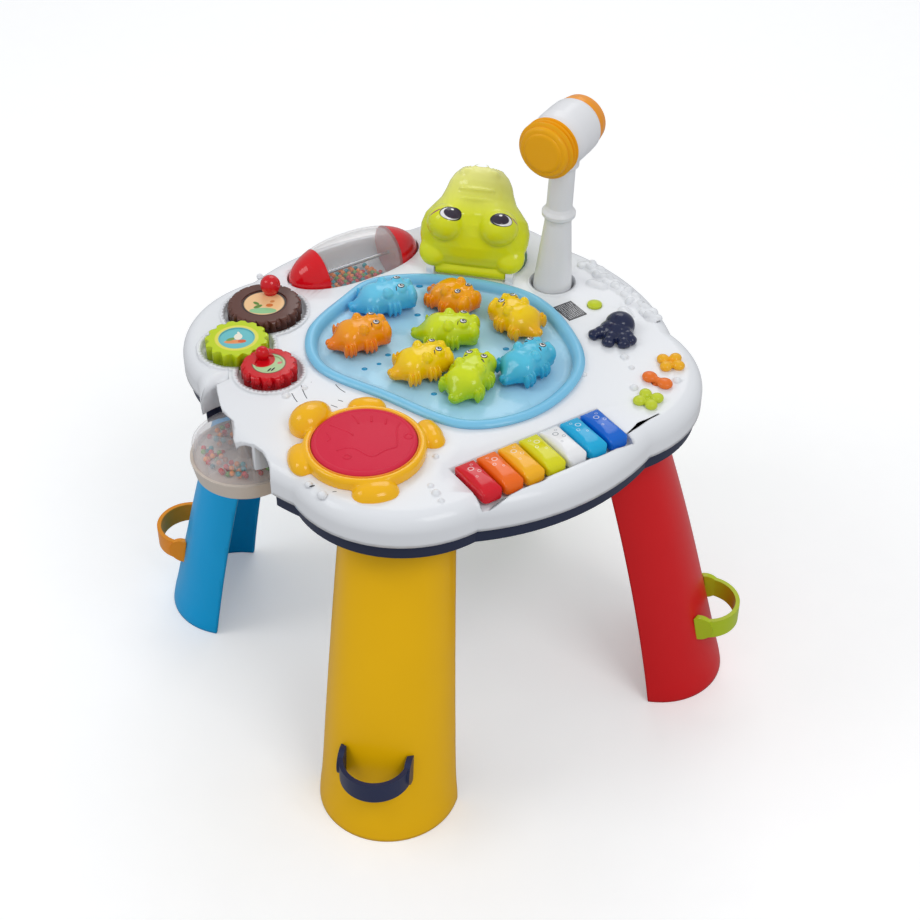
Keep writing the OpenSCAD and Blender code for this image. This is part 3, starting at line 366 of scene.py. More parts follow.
navy = plastic("satin_navy", tone(38, 46, 72), rough=.38, coat=.1, grain=.35, wear=.5)
steel = plastic("bright_steel", tone(190, 192, 196), rough=.22, coat=0, mottle=.08, wear=.6)
steel.node_tree.nodes["Principled BSDF"].inputs["Metallic"].default_value = 1
dress(navy, "base_shell", "battery_door")
dress(steel, "screws", "key_rod", "roller_axle", "spinner_pin", "snapper_pin")
board_green = plastic("board_green", tone(30, 104, 62), rough=.45, grain=.5, mottle=.15)
mat_grey = plastic("silicone_grey", tone(150, 152, 155), rough=.6, coat=0, grain=.4)
cone_black = plastic("moulded_black", tone(26, 26, 28), rough=.5, coat=0, grain=.5, wear=.5)
dress(board_green, "circuit_board")
dress(mat_grey, "contact_mat")
dress(cone_black, "speaker", "power_switch")

# ---------- the four legs ----------
# Curved half-round shells of coloured polypropylene that plug into sockets under
# the deck. A strap loop is fixed to the outer face of each, to hang things on.

leg_tones = {"front": (255, 196, 0), "right": (226, 26, 32), "back": (160, 210, 34),
             "left": (0, 174, 240)}
loop_tones = {"front": (42, 50, 84), "right": (190, 212, 36), "back": (196, 26, 40),
              "left": (252, 156, 30)}


def to_quads(o, flat, square):
    """Joins the triangles of a copy in pairs where they are flat and square enough."""
    pick(o, "faces", lambda f: True)
    bpy.ops.mesh.tris_convert_to_quads(face_threshold=flat, shape_threshold=square)
    bpy.ops.object.mode_set(mode="OBJECT")


def soften(o, corner, hold):
    """Subdivides a copy; edges that turn by more than corner degrees keep some hold."""
    bm = pick(o, "edges", lambda e: False)
    creases = bm.edges.layers.float.get("crease_edge") or bm.edges.layers.float.new("crease_edge")
    for e in bm.edges:
        if len(e.link_faces) == 2 and e.calc_face_angle(0) > math.radians(corner):
            e[creases] = hold
    bmesh.update_edit_mesh(o.data)
    bpy.ops.object.mode_set(mode="OBJECT")
    modify(o, "SUBSURF", levels=2, render_levels=2)


for side in leg_tones:
    leg = cad_copy("leg_" + side + "_skin", "leg_" + side)
    to_quads(leg, .7, .9)
    soften(leg, 50, .75)
    leg_finish = plastic("leg_" + side, tone(*leg_tones[side]), rough=.3, coat=.06, grain=.15)
    done(leg, "table", leg_finish, instead=["leg_" + side], sharp=50)
    dress(plastic("strap_" + side, tone(*loop_tones[side]), rough=.32, grain=.15),
          "leg_loop_" + side)

# ---------- the pond ----------
# A shallow tray moulded in two blues, clipped into the deck. Its thick rounded rim
# stands up around the eight creatures; small drops are moulded on the floor.


def two_blues(tree, colour):
    """The floor of the tray is paler than its rim."""
    z = node(tree, "SeparateXYZ", {0: node(tree, "TexCoord").outputs["Object"]}).outputs[2]
    high = node(tree, "MapRange", {0: z, 1: .3272, 2: .3300}).outputs[0]
    return blend_colour(tree, high, tone(172, 224, 250), colour)


def at_pixel(o, px, py):
    """Point and normal where the line of sight through a picture point meets o."""
    bpy.context.view_layer.update()
    scale = film / lens / frame_px
    ray = (look + aside * (px - frame_px / 2) * scale - upward * (py - frame_px / 2) * scale)
    hit, point, normal, _ = o.ray_cast(eye_at, ray.normalized())
    if not hit:
        raise ValueError(f"no {o.name} at {px}, {py}")
    return point, normal


pond_blue = plastic("pond_blue", tone(130, 204, 240), rough=.2, coat=.3, mottle=.02,
                    paint=two_blues)
pond = cad_copy("pond_skin", "pond_tray")
to_quads(pond, .5, .7)
soften(pond, 55, .8)
done(pond, "table", pond_blue, instead=["pond_tray"], sharp=50)
# the drops' darker blue is painted shade, standing in for the shade of small dimples in the tray
# floor
drop_blue = plastic("drop_blue", tone(40, 150, 200), rough=.2, coat=.2)
drops = []
for px, py, r in ((419.5, 286, 2.6), (417.6, 315, 2.4), (388, 355, 2.2), (379, 364, 1.8),
                  (364.5, 369, 2.2), (434, 394, 2.2), (506, 349, 2.4)):
    point, _ = at_pixel(pond, px, py)
    drops.append((point / MM, (r * 1.25, r, .8), 15))
done(lumps_to_skin("pond_drops", drops, .35, smooth=2), "table", drop_blue)

# ---------- the tap creatures ----------
# Eight squat river creatures in glossy tinted plastic, each on a stem that presses
# a switch. Ears, brows, toes and tail are moulded; the eyes are pad-printed.

animals = (((-64.6, 53.5), 30, 1), ((-5, 71.2), -31, .88), ((60.3, 48.4), 144, .9),
           ((-71, -6), 33, .93), ((1.3, 17.8), 10, .98), ((-9.4, -34.8), 38, .93),
           ((35.6, -46.9), 76, .98), ((77.6, -16.7), 60, .93))
# each creature's colour and a darker copy of it, painted as shade towards the feet
animal_tones = (((110, 208, 242), (30, 160, 222)), ((255, 172, 8), (246, 110, 0)),
                ((255, 212, 10), (250, 164, 0)), ((255, 164, 6), (244, 104, 0)),
                ((214, 230, 28), (150, 192, 4)), ((255, 216, 8), (244, 164, 0)),
                ((214, 230, 28), (150, 192, 4)), ((92, 204, 234), (0, 150, 190)))


def standing(p, turn=0, z=330., tilt=0, stretch=1.):
    """Place of a part on the deck, in mm and degrees."""
    return (Matrix.Translation(Vector((p[0], p[1], z)) * MM)
            @ Matrix.Rotation(math.radians(turn), 4, "Z")
            @ Matrix.Rotation(math.radians(tilt), 4, "X") @ Matrix.Diagonal((stretch, 1, 1, 1)))


# an oval of ink: a mask on the two axes of the coordinates, thin along the third
print_group = bpy.data.node_groups.new("printed_oval", "ShaderNodeTree")
for label, kind, start in (("Vector", "NodeSocketVector", (0, 0, 0)),
                           ("Half width", "NodeSocketFloat", .004),
                           ("Half height", "NodeSocketFloat", .004),
                           ("Depth", "NodeSocketFloat", .01)):
    print_group.interface.new_socket(label, in_out="INPUT", socket_type=kind).default_value = start
print_group.interface.new_socket("Mask", in_out="OUTPUT", socket_type="NodeSocketFloat")
given = print_group.nodes.new("NodeGroupInput")
shown = print_group.nodes.new("NodeGroupOutput")
spot = node(print_group, "SeparateXYZ", {0: given.outputs["Vector"]}).outputs
across = math_node(print_group, "DIVIDE", spot[0], given.outputs["Half width"])
along = math_node(print_group, "DIVIDE", spot[1], given.outputs["Half height"])
span = math_node(print_group, "ADD", math_node(print_group, "POWER", across, 2),
                 math_node(print_group, "POWER", along, 2))
inside = node(print_group, "MapRange", {0: span, 1: 1.06, 2: .94}).outputs[0]
near = math_node(print_group, "LESS_THAN", math_node(print_group, "ABSOLUTE", spot[2]),
                 given.outputs["Depth"])
print_group.links.new(math_node(print_group, "MULTIPLY", inside, near), shown.inputs["Mask"])


def in_frame(tree, place):
    """Object coordinates read in a part's own frame."""
    return node(tree, "Mapping", {"Vector": node(tree, "TexCoord").outputs["Object"],
                                  "Location": place.to_translation(),
                                  "Rotation": place.to_euler(), "Scale": place.to_scale()},
                vector_type="TEXTURE").outputs[0]


def oval(tree, here, at, half, turn, depth):
    """Mask of a printed oval; at and half in mm on the plane of the coordinates."""
    shifted = node(tree, "Mapping", {"Vector": here,
                                     "Location": (at[0] * MM, at[1] * MM, 0),
                                     "Rotation": (0, 0, math.radians(turn))},
                   vector_type="TEXTURE").outputs[0]
    return node(tree, "Group", {"Vector": shifted, "Half width": half[0] * MM,
                                "Half height": half[1] * MM, "Depth": depth},
                node_tree=print_group).outputs[0]


def printed(tree, colour, prints, place, depth=.01, both_sides=False):
    """Lays ovals [centre, half sizes, turn, colour] over a colour, the last on top."""
    here = in_frame(tree, place)
    if both_sides:
        part = node(tree, "SeparateXYZ", {0: here}).outputs
        here = node(tree, "CombineXYZ", {0: part[0], 1: math_node(tree, "ABSOLUTE", part[1]),
                                         2: part[2]}).outputs[0]
    for at, half, turn, ink in prints:
        colour = blend_colour(tree, oval(tree, here, at, half, turn, depth), colour, ink)
    return colour


ink_black, ink_white = tone(30, 26, 34), tone(245, 245, 245)
eye_prints = (((16.4, 6.9), (3.2, 2.9), 0, ink_black), ((16.4, 6.9), (2.5, 2.2), 0, ink_white),
              ((16.9, 6.7), (1.8, 1.6), 0, ink_black), ((17.4, 7), (.6, .5), 0, ink_white),
              ((11.8, 7.8), (.45, 1.9), 12, ink_black))


def animal_paint(place, low, high, shade):
    """Painted shade towards the feet, from a darker copy of the colour, and the printed eyes and
    brows of both sides.
    """
    def paint(tree, colour):
        z = node(tree, "SeparateXYZ", {0: node(tree, "TexCoord").outputs["Object"]}).outputs[2]
        rise = node(tree, "MapRange", {0: z, 1: low, 2: high}).outputs[0]
        return printed(tree, blend_colour(tree, rise, shade, colour), eye_prints,
                       place, depth=.012, both_sides=True)
    return paint


# ears, brows, snout, nostrils, toes of the fore and hind feet, and the tail's lobes
animal_lumps = []
for side in (-1, 1):
    animal_lumps += [((3.4, side * 9.4, 17.6), (5.2, 5.2, 5), 0),
                     ((16, side * 6.3, 18), (6, 5.2, 5.2), 0),
                     ((25, side * 6.5, 9.5), (6.2, 8.2, 9.5), 0),
                     ((26.2, side * 5.2, 17.4), (2.6, 2.6, 2.6), 0)]
    for foot in (7.5, -12.5):
        for toe in (-1, 0, 1):
            animal_lumps.append(((foot + toe * 4.4, side * (17.8 - abs(toe)), 5),
                                 (1.9, 3.2, 7), 0))
    animal_lumps.append(((-27, side * 2.6, 4.4), (3.6, 2.8, 3.4), 0))
for i, ((at, heading, stretch), (light, shade)) in enumerate(zip(animals, animal_tones)):
    name = f"animal_{i + 1}"
    form = cad_copy(name + "_form", name)
    to_quads(form, .7, .9)
    modify(form, "SUBSURF", levels=1, render_levels=1)
    place = standing(at, heading, z=330.9, stretch=stretch)
    skin_piece = lumps_to_skin(name + "_skin", animal_lumps, .75, place, form, smooth=4)
    brow = standing(at, heading, z=352, stretch=stretch)
    tint = plastic(name + "_tint", tone(*light), rough=.14, coat=.45, sub=.25, mottle=.03,
                   grain=.04, wear=.1, paint=animal_paint(brow, .331, .350, tone(*shade)))
    done(skin_piece, name, tint, instead=[name], sharp=60)

# ---------- the drum ----------
# A soft red pad that presses a switch, held by a glossy yellow ring moulded with the
# head and flippers of a turtle. A worn paw-like relief is moulded in the pad.

gold = plastic("drum_yellow", tone(254, 190, 10), rough=.16, coat=.45, mottle=.03)
pad_red = plastic("pad_red", tone(220, 40, 70), rough=.5, coat=.05, grain=.5, mottle=.06, wear=.2)
lip_orange = plastic("lip_orange", tone(245, 150, 40), rough=.25, coat=.14)
dress(pad_red, "drum_pad")
drum_at, pad_r = (-27, -150), 43
drum_place = standing(drum_at, 154)
ring = cad_copy("drum_ring_form", "drum_ring")
ring_lumps = [((57, .5, 4), (14.5, 20.5, 15.5), 4)]
for angle, off, wide, deep in ((-51, 57, 16, 10.4), (51, 51, 18.5, 11.6), (-120, 56, 17.5, 10.6),
                               (140, 52, 19, 12.6)):
    a = math.radians(angle)
    ring_lumps.append(((off * math.cos(a), off * math.sin(a), 0), (deep, wide, 9.4), angle))
ring_skin = lumps_to_skin("drum_ring_skin", ring_lumps, 1.0, drum_place, ring, smooth=4)
done(ring_skin, "table", gold, instead=["drum_ring"], sharp=50)
bpy.ops.mesh.primitive_torus_add(
    major_segments=96, minor_segments=10, major_radius=(pad_r + .9) * MM, minor_radius=.8 * MM,
    location=(drum_at[0] * MM, drum_at[1] * MM, deck_z + .0098))
lip = bpy.context.object
lip.name = "drum_lip"
modify(lip, "SUBSURF", levels=1, render_levels=1)
done(lip, "table", lip_orange)


def stroke(name, on, lines, radius, body, finish, sunk=.3):
    """Raised or printed lines, given by picture points, laid on a surface; mm."""
    bpy.ops.object.select_all(action="DESELECT")
    curve = bpy.data.curves.new(name, "CURVE")
    curve.dimensions = "3D"
    curve.bevel_depth = radius * MM
    curve.bevel_resolution = 3
    curve.use_fill_caps = True
    for line in lines:
        spline = curve.splines.new("NURBS")
        spline.points.add(len(line) - 1)
        for p, (px, py) in zip(spline.points, line):
            point, normal = at_pixel(on, px, py)
            p.co = (*(point - normal * radius * MM * sunk), 1)
        spline.use_endpoint_u = True
        spline.order_u = min(4, len(line))
    o = bpy.data.objects.new(name, curve)
    scene.collection.objects.link(o)
    only(o)
    bpy.ops.object.convert(target="MESH")
    return done(bpy.context.object, body, finish, sharp=80)


def picture_ring(px, py, r, squash=.62):
    """Picture points of a small circle that lies on the deck."""
    return [(px + r * math.cos(k * math.pi / 6), py + r * squash * math.sin(k * math.pi / 6))
            for k in range(13)]


stroke("pad_relief", nodes["drum_pad"],
       [[(336.7, 450.6), (342.4, 448.2), (352, 447.2), (357.7, 449.6), (364.4, 453.9),
         (370.2, 456.8), (375.9, 455.9), (384.5, 450.1), (392.2, 448.2), (397.9, 447.2),
         (397, 437), (396, 428), (399.8, 422.8)],
        [(352, 415.2), (356.8, 419), (358.7, 423.8)], [(371.1, 416.1), (371.6, 421.9)],
        [(386.4, 418.5), (385.5, 424.3)],
        [(330, 424.8), (338.6, 428.6), (350, 431.5), (352.9, 435.3)],
        [(327, 433.4), (332.8, 439.1), (327, 441)],
        picture_ring(408.4, 436.2, 4.2), picture_ring(347.2, 456.8, 3.6)],
       1.05, "drum_pad", pad_red, sunk=.5)
print_grey = plastic("printed_grey", tone(46, 50, 58), rough=.5, coat=0)
stroke("deck_prints", shell,
       [[(301, 385), (303.4, 393), (307, 398.5)], [(335.7, 384.5), (339.4, 389.4), (345.4, 392.4)],
        [(291.8, 393.4), (294.4, 398.4), (297.4, 402)], [(311, 382), (311.6, 382.2)],
        [(338, 400), (343, 401.4)], [(331, 405), (337.5, 407.4)],
        [(309.5, 486.5), (314.5, 485.4)], [(332.5, 491.8), (336.5, 491.4)]],
       .55, "table", print_grey, sunk=.7)

# ---------- the piano keys ----------
# Seven hollow keys snapped on one steel rod in a sunk bed, in coloured ABS. Each has
# a few pale bubbles printed on its back.

key_tones = ((220, 14, 36), (250, 110, 16), (255, 184, 26), (226, 222, 20), (244, 244, 246),
             (16, 176, 226), (0, 104, 212))
key_spots = (((-9, 1), (2.6, 2.6)), ((-3, -3), (1.6, 1.6)), ((-14, -2.6), (1.3, 1.3)),
             ((2, 2.4), (1.1, 1.1)))


def bubble_paint(place, ink, flip):
    """Small rings in a pale ink on the key's own colour."""
    def paint(tree, colour):
        rings = []
        for (x, y), (w, h) in key_spots:
            rings += [((x, y * flip), (w, h), 0, ink),
                      ((x, y * flip), (w * .68, h * .68), 0, colour)]
        return printed(tree, colour, rings, place)
    return paint


# an upright block with rounded corners trims each key; the row runs at 45 degrees
row_at, row_turn, key_pitch = (112, -123), -45, 20.3
key_block, block_corner = (46, 18.4, 30), 4.6
row_x, row_y = -math.sin(math.radians(row_turn)), math.cos(math.radians(row_turn))
for i, key_tone in enumerate(key_tones):
    name = f"key_{i + 1}"
    across = (i - 3) * key_pitch
    place = standing((row_at[0] + across * row_x, row_at[1] + across * row_y), row_turn, z=337)
    pale = tuple(.45 * a + .55 for a in tone(*key_tone)[:3]) + (1,)
    if i == 4:
        pale = tone(170, 174, 180)
    tint = plastic(name + "_tint", tone(*key_tone), rough=.13, coat=.45, mottle=.02, sub=.1,
                   paint=bubble_paint(place, pale, 1 if i % 2 else -1), edge_radius=.0012)
    key = cad_copy(name + "_skin", name)
    bpy.ops.object.select_all(action="DESELECT")
    bpy.ops.mesh.primitive_cube_add(size=MM)
    block = bpy.context.object
    block.data.transform(Matrix.Diagonal((*key_block, 1)))
    pick(block, "edges", lambda e: abs(e.verts[0].co.z - e.verts[1].co.z) > .02)
    bpy.ops.mesh.bevel(offset=block_corner * MM, segments=6)
    bpy.ops.object.mode_set(mode="OBJECT")
    block.data.transform(place)
    modify(key, "BOOLEAN", operation="INTERSECT", object=block, solver="EXACT")
    bpy.data.objects.remove(block)
    modify(key, "REMESH", mode="VOXEL", voxel_size=.65 * MM)
    modify(key, "SMOOTH", factor=.5, iterations=7)
    done(key, name, tint, instead=[name], sharp=80)

# ---------- the gears ----------
# Three meshing gears turn on posts in one pocket: brown with soft cogs and a red
# ball to push, lime with fine teeth, and red with scallops. Each top has a label.

gear_tops = {"gear_brown": ((-164, 23), (96, 56, 46)), "gear_lime": ((-171, -34), (198, 220, 16)),
             "gear_red": ((-132.8, -63.8), (214, 10, 26))}
gear_cogs = {"gear_brown": (29.4, 18), "gear_red": (20.7, 13)}
leaf, cream = tone(96, 140, 50), tone(246, 240, 222)
gear_prints = {
    "gear_brown": (((0, 0), (19.6, 19.6), 0, tone(40, 24, 22)),
                   ((0, 0), (17.8, 17.8), 0, tone(250, 205, 150)),
                   ((0, -11.5), (12, 4.6), 0, tone(150, 205, 150)),
                   ((-5, -5), (4.2, 2.2), 35, leaf), ((-7, 0), (3.4, 1.8), -40, leaf),
                   ((5, -3), (3.2, 2.6), 10, tone(222, 130, 70)),
                   ((7, 3), (2.2, 1.8), 40, tone(226, 150, 90))),
    "gear_lime": (((0, 0), (18.8, 18.8), 0, tone(236, 228, 90)),
                  ((0, 0), (15.8, 15.8), 0, tone(110, 198, 205)),
                  ((-1, -4.5), (9.5, 2.8), 4, tone(240, 150, 90)),
                  ((5, -3.6), (3.6, 2.4), 0, tone(224, 96, 50)),
                  ((-5, -1), (4.2, 2), 30, tone(120, 160, 80)),
                  ((1, 3), (3.6, 4.6), 0, cream), ((1, 7.6), (1.2, 3), 20, cream)),
    "gear_red": (((0, 0), (14.6, 14.6), 0, tone(120, 60, 40)),
                 ((0, 0), (13.6, 13.6), 0, tone(184, 214, 160)),
                 ((1, -8.2), (.8, 3), -30, ink_black), ((4, -7.4), (.8, 3), -30, ink_black),
                 ((9, 2), (2.2, 1.6), 30, tone(226, 120, 120)),
                 ((-6, 6), (10.6, 10.6), 0, tone(214, 10, 26)))}


def label_paint(name, at):
    """Label on the flat top; below it the side is painted darker, as shade between the teeth."""
    def paint(tree, colour):
        z = node(tree, "SeparateXYZ", {0: node(tree, "TexCoord").outputs["Object"]}).outputs[2]
        rise = node(tree, "MapRange", {0: z, 1: .331, 2: .3395}).outputs[0]
        # a darker copy of the colour, painted as shade on the side below the top
        dark = tuple(c * .6 for c in colour[:3]) + (1,)
        return printed(tree, blend_colour(tree, rise, dark, colour), gear_prints[name],
                       standing(at, 12, z=340), depth=.0014)
    return paint


for name, (at, gear_tone) in gear_tops.items():
    finish = plastic(name + "_tint", tone(*gear_tone), rough=.18, coat=.35, mottle=.04,
                     paint=label_paint(name, at), edge_radius=.0012)
    dress(finish, name)
    if name not in gear_cogs:
        continue
    # soft round cogs over the coarse teeth
    reach, count = gear_cogs[name]
    cogs = []
    for k in range(count):
        a = math.radians(k * 360 / count + 10)
        cogs.append(((reach * math.cos(a), reach * math.sin(a), 5.4), (3.4, 3.2, 5),
                     math.degrees(a)))
    cog_skin = lumps_to_skin(name + "_cogs", cogs, .7, standing(at), smooth=2)
    done(cog_skin, name, finish, sharp=60)
ball_red = plastic("ball_red", tone(220, 14, 30), rough=.14, coat=.5, mottle=.03)
dress(ball_red, "gear_knob")

# ---------- the bead roller ----------
# A clear barrel between two glossy red end caps on a steel axle. Round beads in
# four colours lie loose in the lower part of the barrel.


def clear_plastic(name, colour, low, high, rough=.05):
    """Clear moulded plastic: see-through face on; at a glance more of its pale colour shows as a
    painted reflection, with faint streaks of cloud.
    """
    m = plastic(name, colour, rough=rough, coat=.8, mottle=.03, grain=.02, wear=.1)
    tree = m.node_tree
    glance = node(tree, "LayerWeight", {"Blend": .35}).outputs["Facing"]
    streak = node(tree, "TexNoise", {"Vector": node(tree, "TexCoord").outputs["Object"],
                                     "Scale": 30}).outputs[0]
    # opacity that rises at a glance is a painted reflection; the faint noise adds streaks of cloud
    cloud_and_painted_sheen = node(tree, "MapRange", {0: math_node(tree, "MULTIPLY_ADD", streak, .08, glance),
                                     1: .05, 2: .95, 3: low, 4: high}).outputs[0]
    tree.links.new(cloud_and_painted_sheen, tree.nodes["Principled BSDF"].inputs["Alpha"])
    return m


cap_red = plastic("cap_red", tone(226, 10, 26), rough=.14, coat=.5, mottle=.03)
dress(cap_red, "roller_caps")
dress(clear_plastic("clear_barrel", tone(252, 250, 252), .05, .42), "roller_tube")
bead_r = 2.4
bead_tones = {"red": (210, 50, 50), "teal": (40, 150, 160), "orange": (240, 140, 50),
              "green": (110, 160, 70)}
bead_finishes = [plastic(hue + "_bead", tone(*paint_chip), rough=.25, coat=.14)
                 for hue, paint_chip in bead_tones.items()]


def beads(name, places, body, node_name):
    """Loose beads, one modelled and copied; each takes one of the four colours."""
    bpy.ops.object.select_all(action="DESELECT")
    bpy.ops.mesh.primitive_uv_sphere_add(segments=8, ring_count=6, radius=bead_r * MM)
    first = bpy.context.object
    made = []
    for k, p in enumerate(places):
        o = first.copy()
        o.data = first.data.copy()
        o.data.transform(Matrix.Translation(p))
        for m in bead_finishes:
            o.data.materials.append(m)
        for f in o.data.polygons:
            f.material_index = (k * 7 + k // 3) % len(bead_finishes)
        scene.collection.objects.link(o)
        made.append(o)
    bpy.data.objects.remove(first)
    only(*made)
    bpy.ops.object.join()
    o = bpy.context.object
    o.name = name
    done(o, body, instead=[node_name], sharp=80)


def barrel_radius(x):
    """Radius of the barrel at a distance from its middle, in mm."""
    return 30 * math.sqrt(max(0, 1 - (abs(x) / 66) ** 2.3))


# layers of beads up to a level that slopes a little along the barrel
bead_pitch = 4.9
roller_place = standing((-108, 119), 45, z=328)
heap = []
for i in range(-6, 7):
    for k in range(4):
        for j in range(-5, 6):
            x, y, z = i * bead_pitch, j * 5 + (i + k) % 2 * 2.5, -25.5 + 4.4 * k + i % 2 * 1.3
            if math.hypot(y, z) < barrel_radius(abs(x) + 4) - 2 * bead_r and z < -14.5 - .1 * x:
                heap.append(roller_place @ Vector((x * MM, y * MM, z * MM)))
beads("roller_bead_heap", heap, "roller", "roller_beads")

# ---------- the bead spinner ----------
# A clear ribbed cover over a beige dish, spinning on a pin under the shell's edge.
# Its beads are the roller's, loose between the ribs.

dress(plastic("dish_beige", tone(220, 208, 196), rough=.35, coat=.2, mottle=.05), "spinner_dish")
dress(clear_plastic("clear_cover", tone(250, 248, 252), .06, .46), "spinner_cover")
spinner_place = standing((-141, -117), z=284.5)
# between each two ribs, three arcs of beads 5.2 mm apart in two layers, with gaps
swirl = []
for rib in range(6):
    for i in range(3):
        for j in range(3 + i):
            for layer in range(2):
                if (rib + i + j + layer) % 4:
                    off = 19 + 6.4 * i + 3 * layer
                    a = math.radians(rib * 60 + 30 + (j - (2 + i) / 2) * 5.2 * 57.3 / off)
                    swirl.append(spinner_place @ Vector((off * math.cos(a) * MM,
                                                         off * math.sin(a) * MM, layer * 4.5 * MM)))
beads("spinner_bead_ring", swirl, "spinner", "spinner_beads")

# ---------- the hammer ----------
# A light grey handle with a collar stands loose in a cup. Its head is a white
# barrel with a squeaking yellow bellows on one end and an orange cap on the other.

hammer_place = (standing((77.9, 123.4)) @ Matrix.Rotation(math.radians(2.4), 4, "Y")
                @ Matrix.Translation((0, 0, .153)) @ Matrix.Rotation(math.radians(-108), 4, "Z"))


def turned(name, profile, place):
    """A body turned on a lathe about its own X axis; profile points [x, r] in mm."""
    bpy.ops.object.select_all(action="DESELECT")
    mesh = bpy.data.meshes.new(name)
    mesh.from_pydata([(r * MM, 0, x * MM) for x, r in profile],
                     [(i, i + 1) for i in range(len(profile) - 1)], [])
    o = bpy.data.objects.new(name, mesh)
    scene.collection.objects.link(o)
    modify(o, "SCREW", axis="Z", steps=72, render_steps=72, use_merge_vertices=True,
           merge_threshold=.00002, use_normal_calculate=True)
    pick(o, "faces", lambda f: True)
    bpy.ops.mesh.remove_doubles(threshold=.00002)
    bpy.ops.mesh.normals_make_consistent(inside=False)
    bpy.ops.object.mode_set(mode="OBJECT")
    o.data.transform(place @ Matrix.Rotation(math.radians(90), 4, "Y"))
    return o


bellows_from, rib_step, rib_count, rib_length = 24.2, .3, 3, 14.4
ribs = []
for k in range(49):
    wave = math.sin(k * rib_step / rib_length * rib_count * 2 * math.pi - 1.57)
    ribs.append((bellows_from + k * rib_step, 23.7 + 2.1 * wave))
bellows = turned("bellows_skin", [(bellows_from, 0), (bellows_from, 20)] + ribs + [
    (38.9, 22.6), (40.6, 22.2), (41.8, 21.2), (42.3, 19.6), (42.4, 17.8), (43, 17.3), (43.5, 16.6),
    (43.6, 14), (43.6, 0)], hammer_place)
done(bellows, "hammer", plastic("bellows_amber", tone(248, 176, 10), rough=.34, coat=.1, mottle=.03,
                                grain=.2), instead=["hammer_bellows"], sharp=40)
dress(plastic("handle_grey", tone(236, 237, 239), rough=.3, coat=.15, mottle=.02), "hammer_handle")
dress(plastic("barrel_white", tone(240, 240, 243), rough=.28, coat=.2, mottle=.02), "hammer_barrel")
dress(plastic("end_orange", tone(250, 158, 34), rough=.3, coat=.2, mottle=.03), "hammer_end")

# ---------- the snapping head ----------
# The lime upper half of a river creature's head, hinged on a pin between two white
# knuckles and held open by friction; its dark green lower jaw lies on the deck.

head_place = standing((3, 118), z=336, tilt=52)
head_form = cad_copy("snapper_form", "snapper_head")
to_quads(head_form, .6, .8)
# the eye bulges, nostrils and jowls of both sides, and two folds across the snout
head_lumps = []
for side in (-1, 1):
    head_lumps += [((side * 24, 39, 22), (18, 17, 19.5), 0),
                   ((side * 12.5, 86, 16), (6.6, 5, 4.6), side * -12),
                   ((side * 35, 15, 6), (14, 15, 9), 0)]
head_lumps += [((0, 71, 24), (17, 2.2, 3.2), 0), ((0, 62, 25), (18, 2.4, 3.4), 0)]
head = lumps_to_skin("snapper_skin", head_lumps, 1.0, head_place, head_form, smooth=8)
eye_frames = []
for px, py in ((451.5, 212.5), (502, 219)):
    point, normal = at_pixel(head, px, py)
    flat = (aside - normal * aside.dot(normal)).normalized()
    rise = normal.cross(flat)
    lean = abs(normal.dot((eye_at - point).normalized()))
    eye_frames.append((Matrix.Translation(point)
                       @ Matrix((flat, rise, normal)).transposed().to_4x4(), lean))


def head_paint(tree, colour):
    """Printed eyes on the two bulges, and a colour that turns paler towards the snout."""
    along = node(tree, "SeparateXYZ", {0: in_frame(tree, head_place)}).outputs[1]
    snout = node(tree, "MapRange", {0: along, 1: .046, 2: .090}).outputs[0]
    colour = blend_colour(tree, snout, colour, tone(252, 250, 150))
    for side, (place, lean) in zip((-1, 1), eye_frames):
        tall = 5.4 / max(.35, lean)
        colour = printed(tree, colour, (
            ((0, 0), (10.2, tall * 1.06), 0, ink_black),
            ((side * .7, -.5), (8.9, tall * .88), 0, ink_white),
            ((side * -1, .2), (7.8, tall * .84), 0, tone(58, 50, 66)),
            ((side * -1, tall * .58), (1.5, tall * .16), 0, ink_white),
            ((side * 12.4, tall * .42), (4.2, .7), side * -22, tone(160, 80, 110))),
                         place, depth=.014)
    return colour


head_lime = plastic("head_lime", tone(228, 234, 34), rough=.16, coat=.4, mottle=.04, sub=.1,
                    paint=head_paint)
done(head, "snapper", head_lime, instead=["snapper_head"], sharp=60)
dress(plastic("jaw_green", tone(60, 110, 50), rough=.3, mottle=.05), "snapper_jaw")

# ---------- the display and the buttons ----------
# A smoked window over a small light panel, a lime mode button, a navy sea creature
# with four arms, and three moulded shapes that press through the deck.


def panel_paint(tree, colour):
    """Rows of faint worn dots inside a dark border."""
    local = in_frame(tree, standing((101, 82), 45))
    part = node(tree, "SeparateXYZ", {0: local}).outputs
    grit = node(tree, "TexNoise", {"Vector": local, "Scale": 700, "Detail": 3}).outputs[0]
    rows = node(tree, "TexWave", {"Vector": local, "Scale": 160, "Distortion": 6}).outputs[1]
    dots = node(tree, "MapRange", {0: math_node(tree, "MULTIPLY", grit, rows),
                                   1: .18, 2: .42}).outputs[0]
    wide = math_node(tree, "LESS_THAN", math_node(tree, "ABSOLUTE", part[0]), .0086)
    tall = math_node(tree, "LESS_THAN", math_node(tree, "ABSOLUTE", part[1]), .0112)
    within = math_node(tree, "MULTIPLY", math_node(tree, "MULTIPLY", wide, tall), dots)
    return blend_colour(tree, within, colour, tone(168, 168, 172))


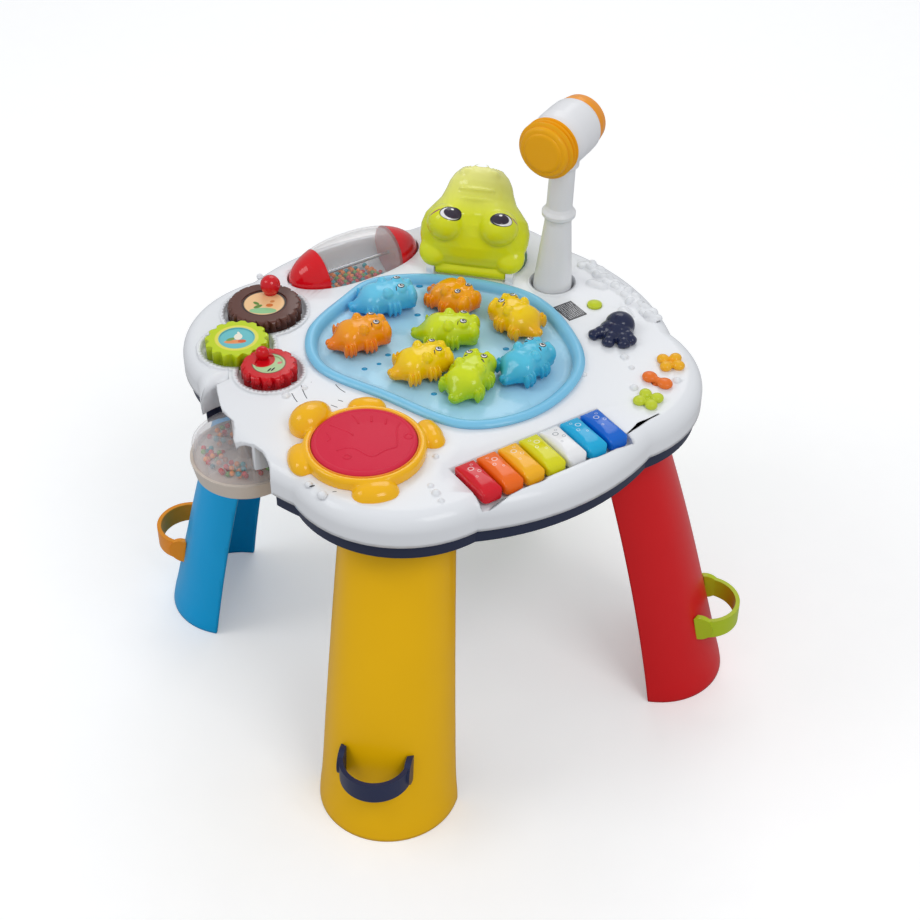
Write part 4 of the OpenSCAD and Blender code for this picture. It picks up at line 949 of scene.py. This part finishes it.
dress(plastic("smoked_window", tone(56, 56, 60), rough=.2, coat=.28, paint=panel_paint),
      "display_window")
dress(plastic("mode_lime", tone(206, 220, 48), rough=.25, coat=.16), "mode_button")
sea_navy = plastic("sea_navy", tone(30, 38, 72), rough=.14, coat=.45, mottle=.05)
sea_lumps = [((1, 3, 4.5), (13.5, 13, 12), 0), ((-1.5, -5, 4), (15, 12, 8.6), 0)]
sea_arms = ((-142, 28), (-103, 27.5), (-70, 28), (-50, 24.5))
for angle, length in sea_arms:
    a = math.radians(angle)
    for t, wide, high in ((.42, 7, 7.4), (.62, 6, 6.2), (.8, 5, 5)):
        sea_lumps.append(((length * t * math.cos(a), length * t * math.sin(a), 3.4),
                          (7, wide, high), angle))
    for side in (-1, 1):
        b = a + side * .09
        sea_lumps.append((((length - 3) * math.cos(b), (length - 3) * math.sin(b), 3),
                          (3.6, 3.4, 3.8), 0))
sea_form = cad_copy("sea_form", "sea_button")
pick(sea_form, "faces", lambda f: True)
sea_cut = deck_z + .0016
bpy.ops.mesh.bisect(plane_co=(0, 0, sea_cut), plane_no=(0, 0, 1), use_fill=True, clear_outer=True)
bpy.ops.object.mode_set(mode="OBJECT")
sea = lumps_to_skin("sea_button_skin", sea_lumps, .7, standing((147, 60)), sea_form, smooth=3)
done(sea, "sea_button", sea_navy, instead=["sea_button"], sharp=60)
shapes = (((198, 20), 20, 4, (250, 184, 36)), ((190, -8), -71, 2, (244, 122, 44)),
          ((186, -36), 70, 4, (204, 218, 56)))
for i, (at, turn, petals, petal_tone) in enumerate(shapes):
    name = f"shape_button_{i + 1}"
    off, petal_r = 7.6, 5.7 if petals == 4 else 6.8
    lumps = [((0, 0, 1), (7, 7, 1.2), 0)] if petals == 4 else []
    for k in range(petals):
        a = math.radians(k * 360 / petals + 45)
        lumps.append(((off * math.cos(a), off * math.sin(a), 2.4), (petal_r, petal_r * .94, 4),
                      math.degrees(a)))
        if petals == 2:
            lumps.append(((2 * math.cos(a), 2 * math.sin(a), 2.2), (4, 3.4, 3.2),
                          math.degrees(a)))
    lumps.append(((0, 0, -3), (4.6, 4.6, 4), 0))
    form = lumps_to_skin(name + "_skin", lumps, .5, standing(at, turn), smooth=2)
    petal_finish = plastic(f"shape_{i + 1}_tint", tone(*petal_tone), rough=.22, coat=.2, mottle=.03)
    done(form, name, petal_finish, instead=[name], sharp=60)
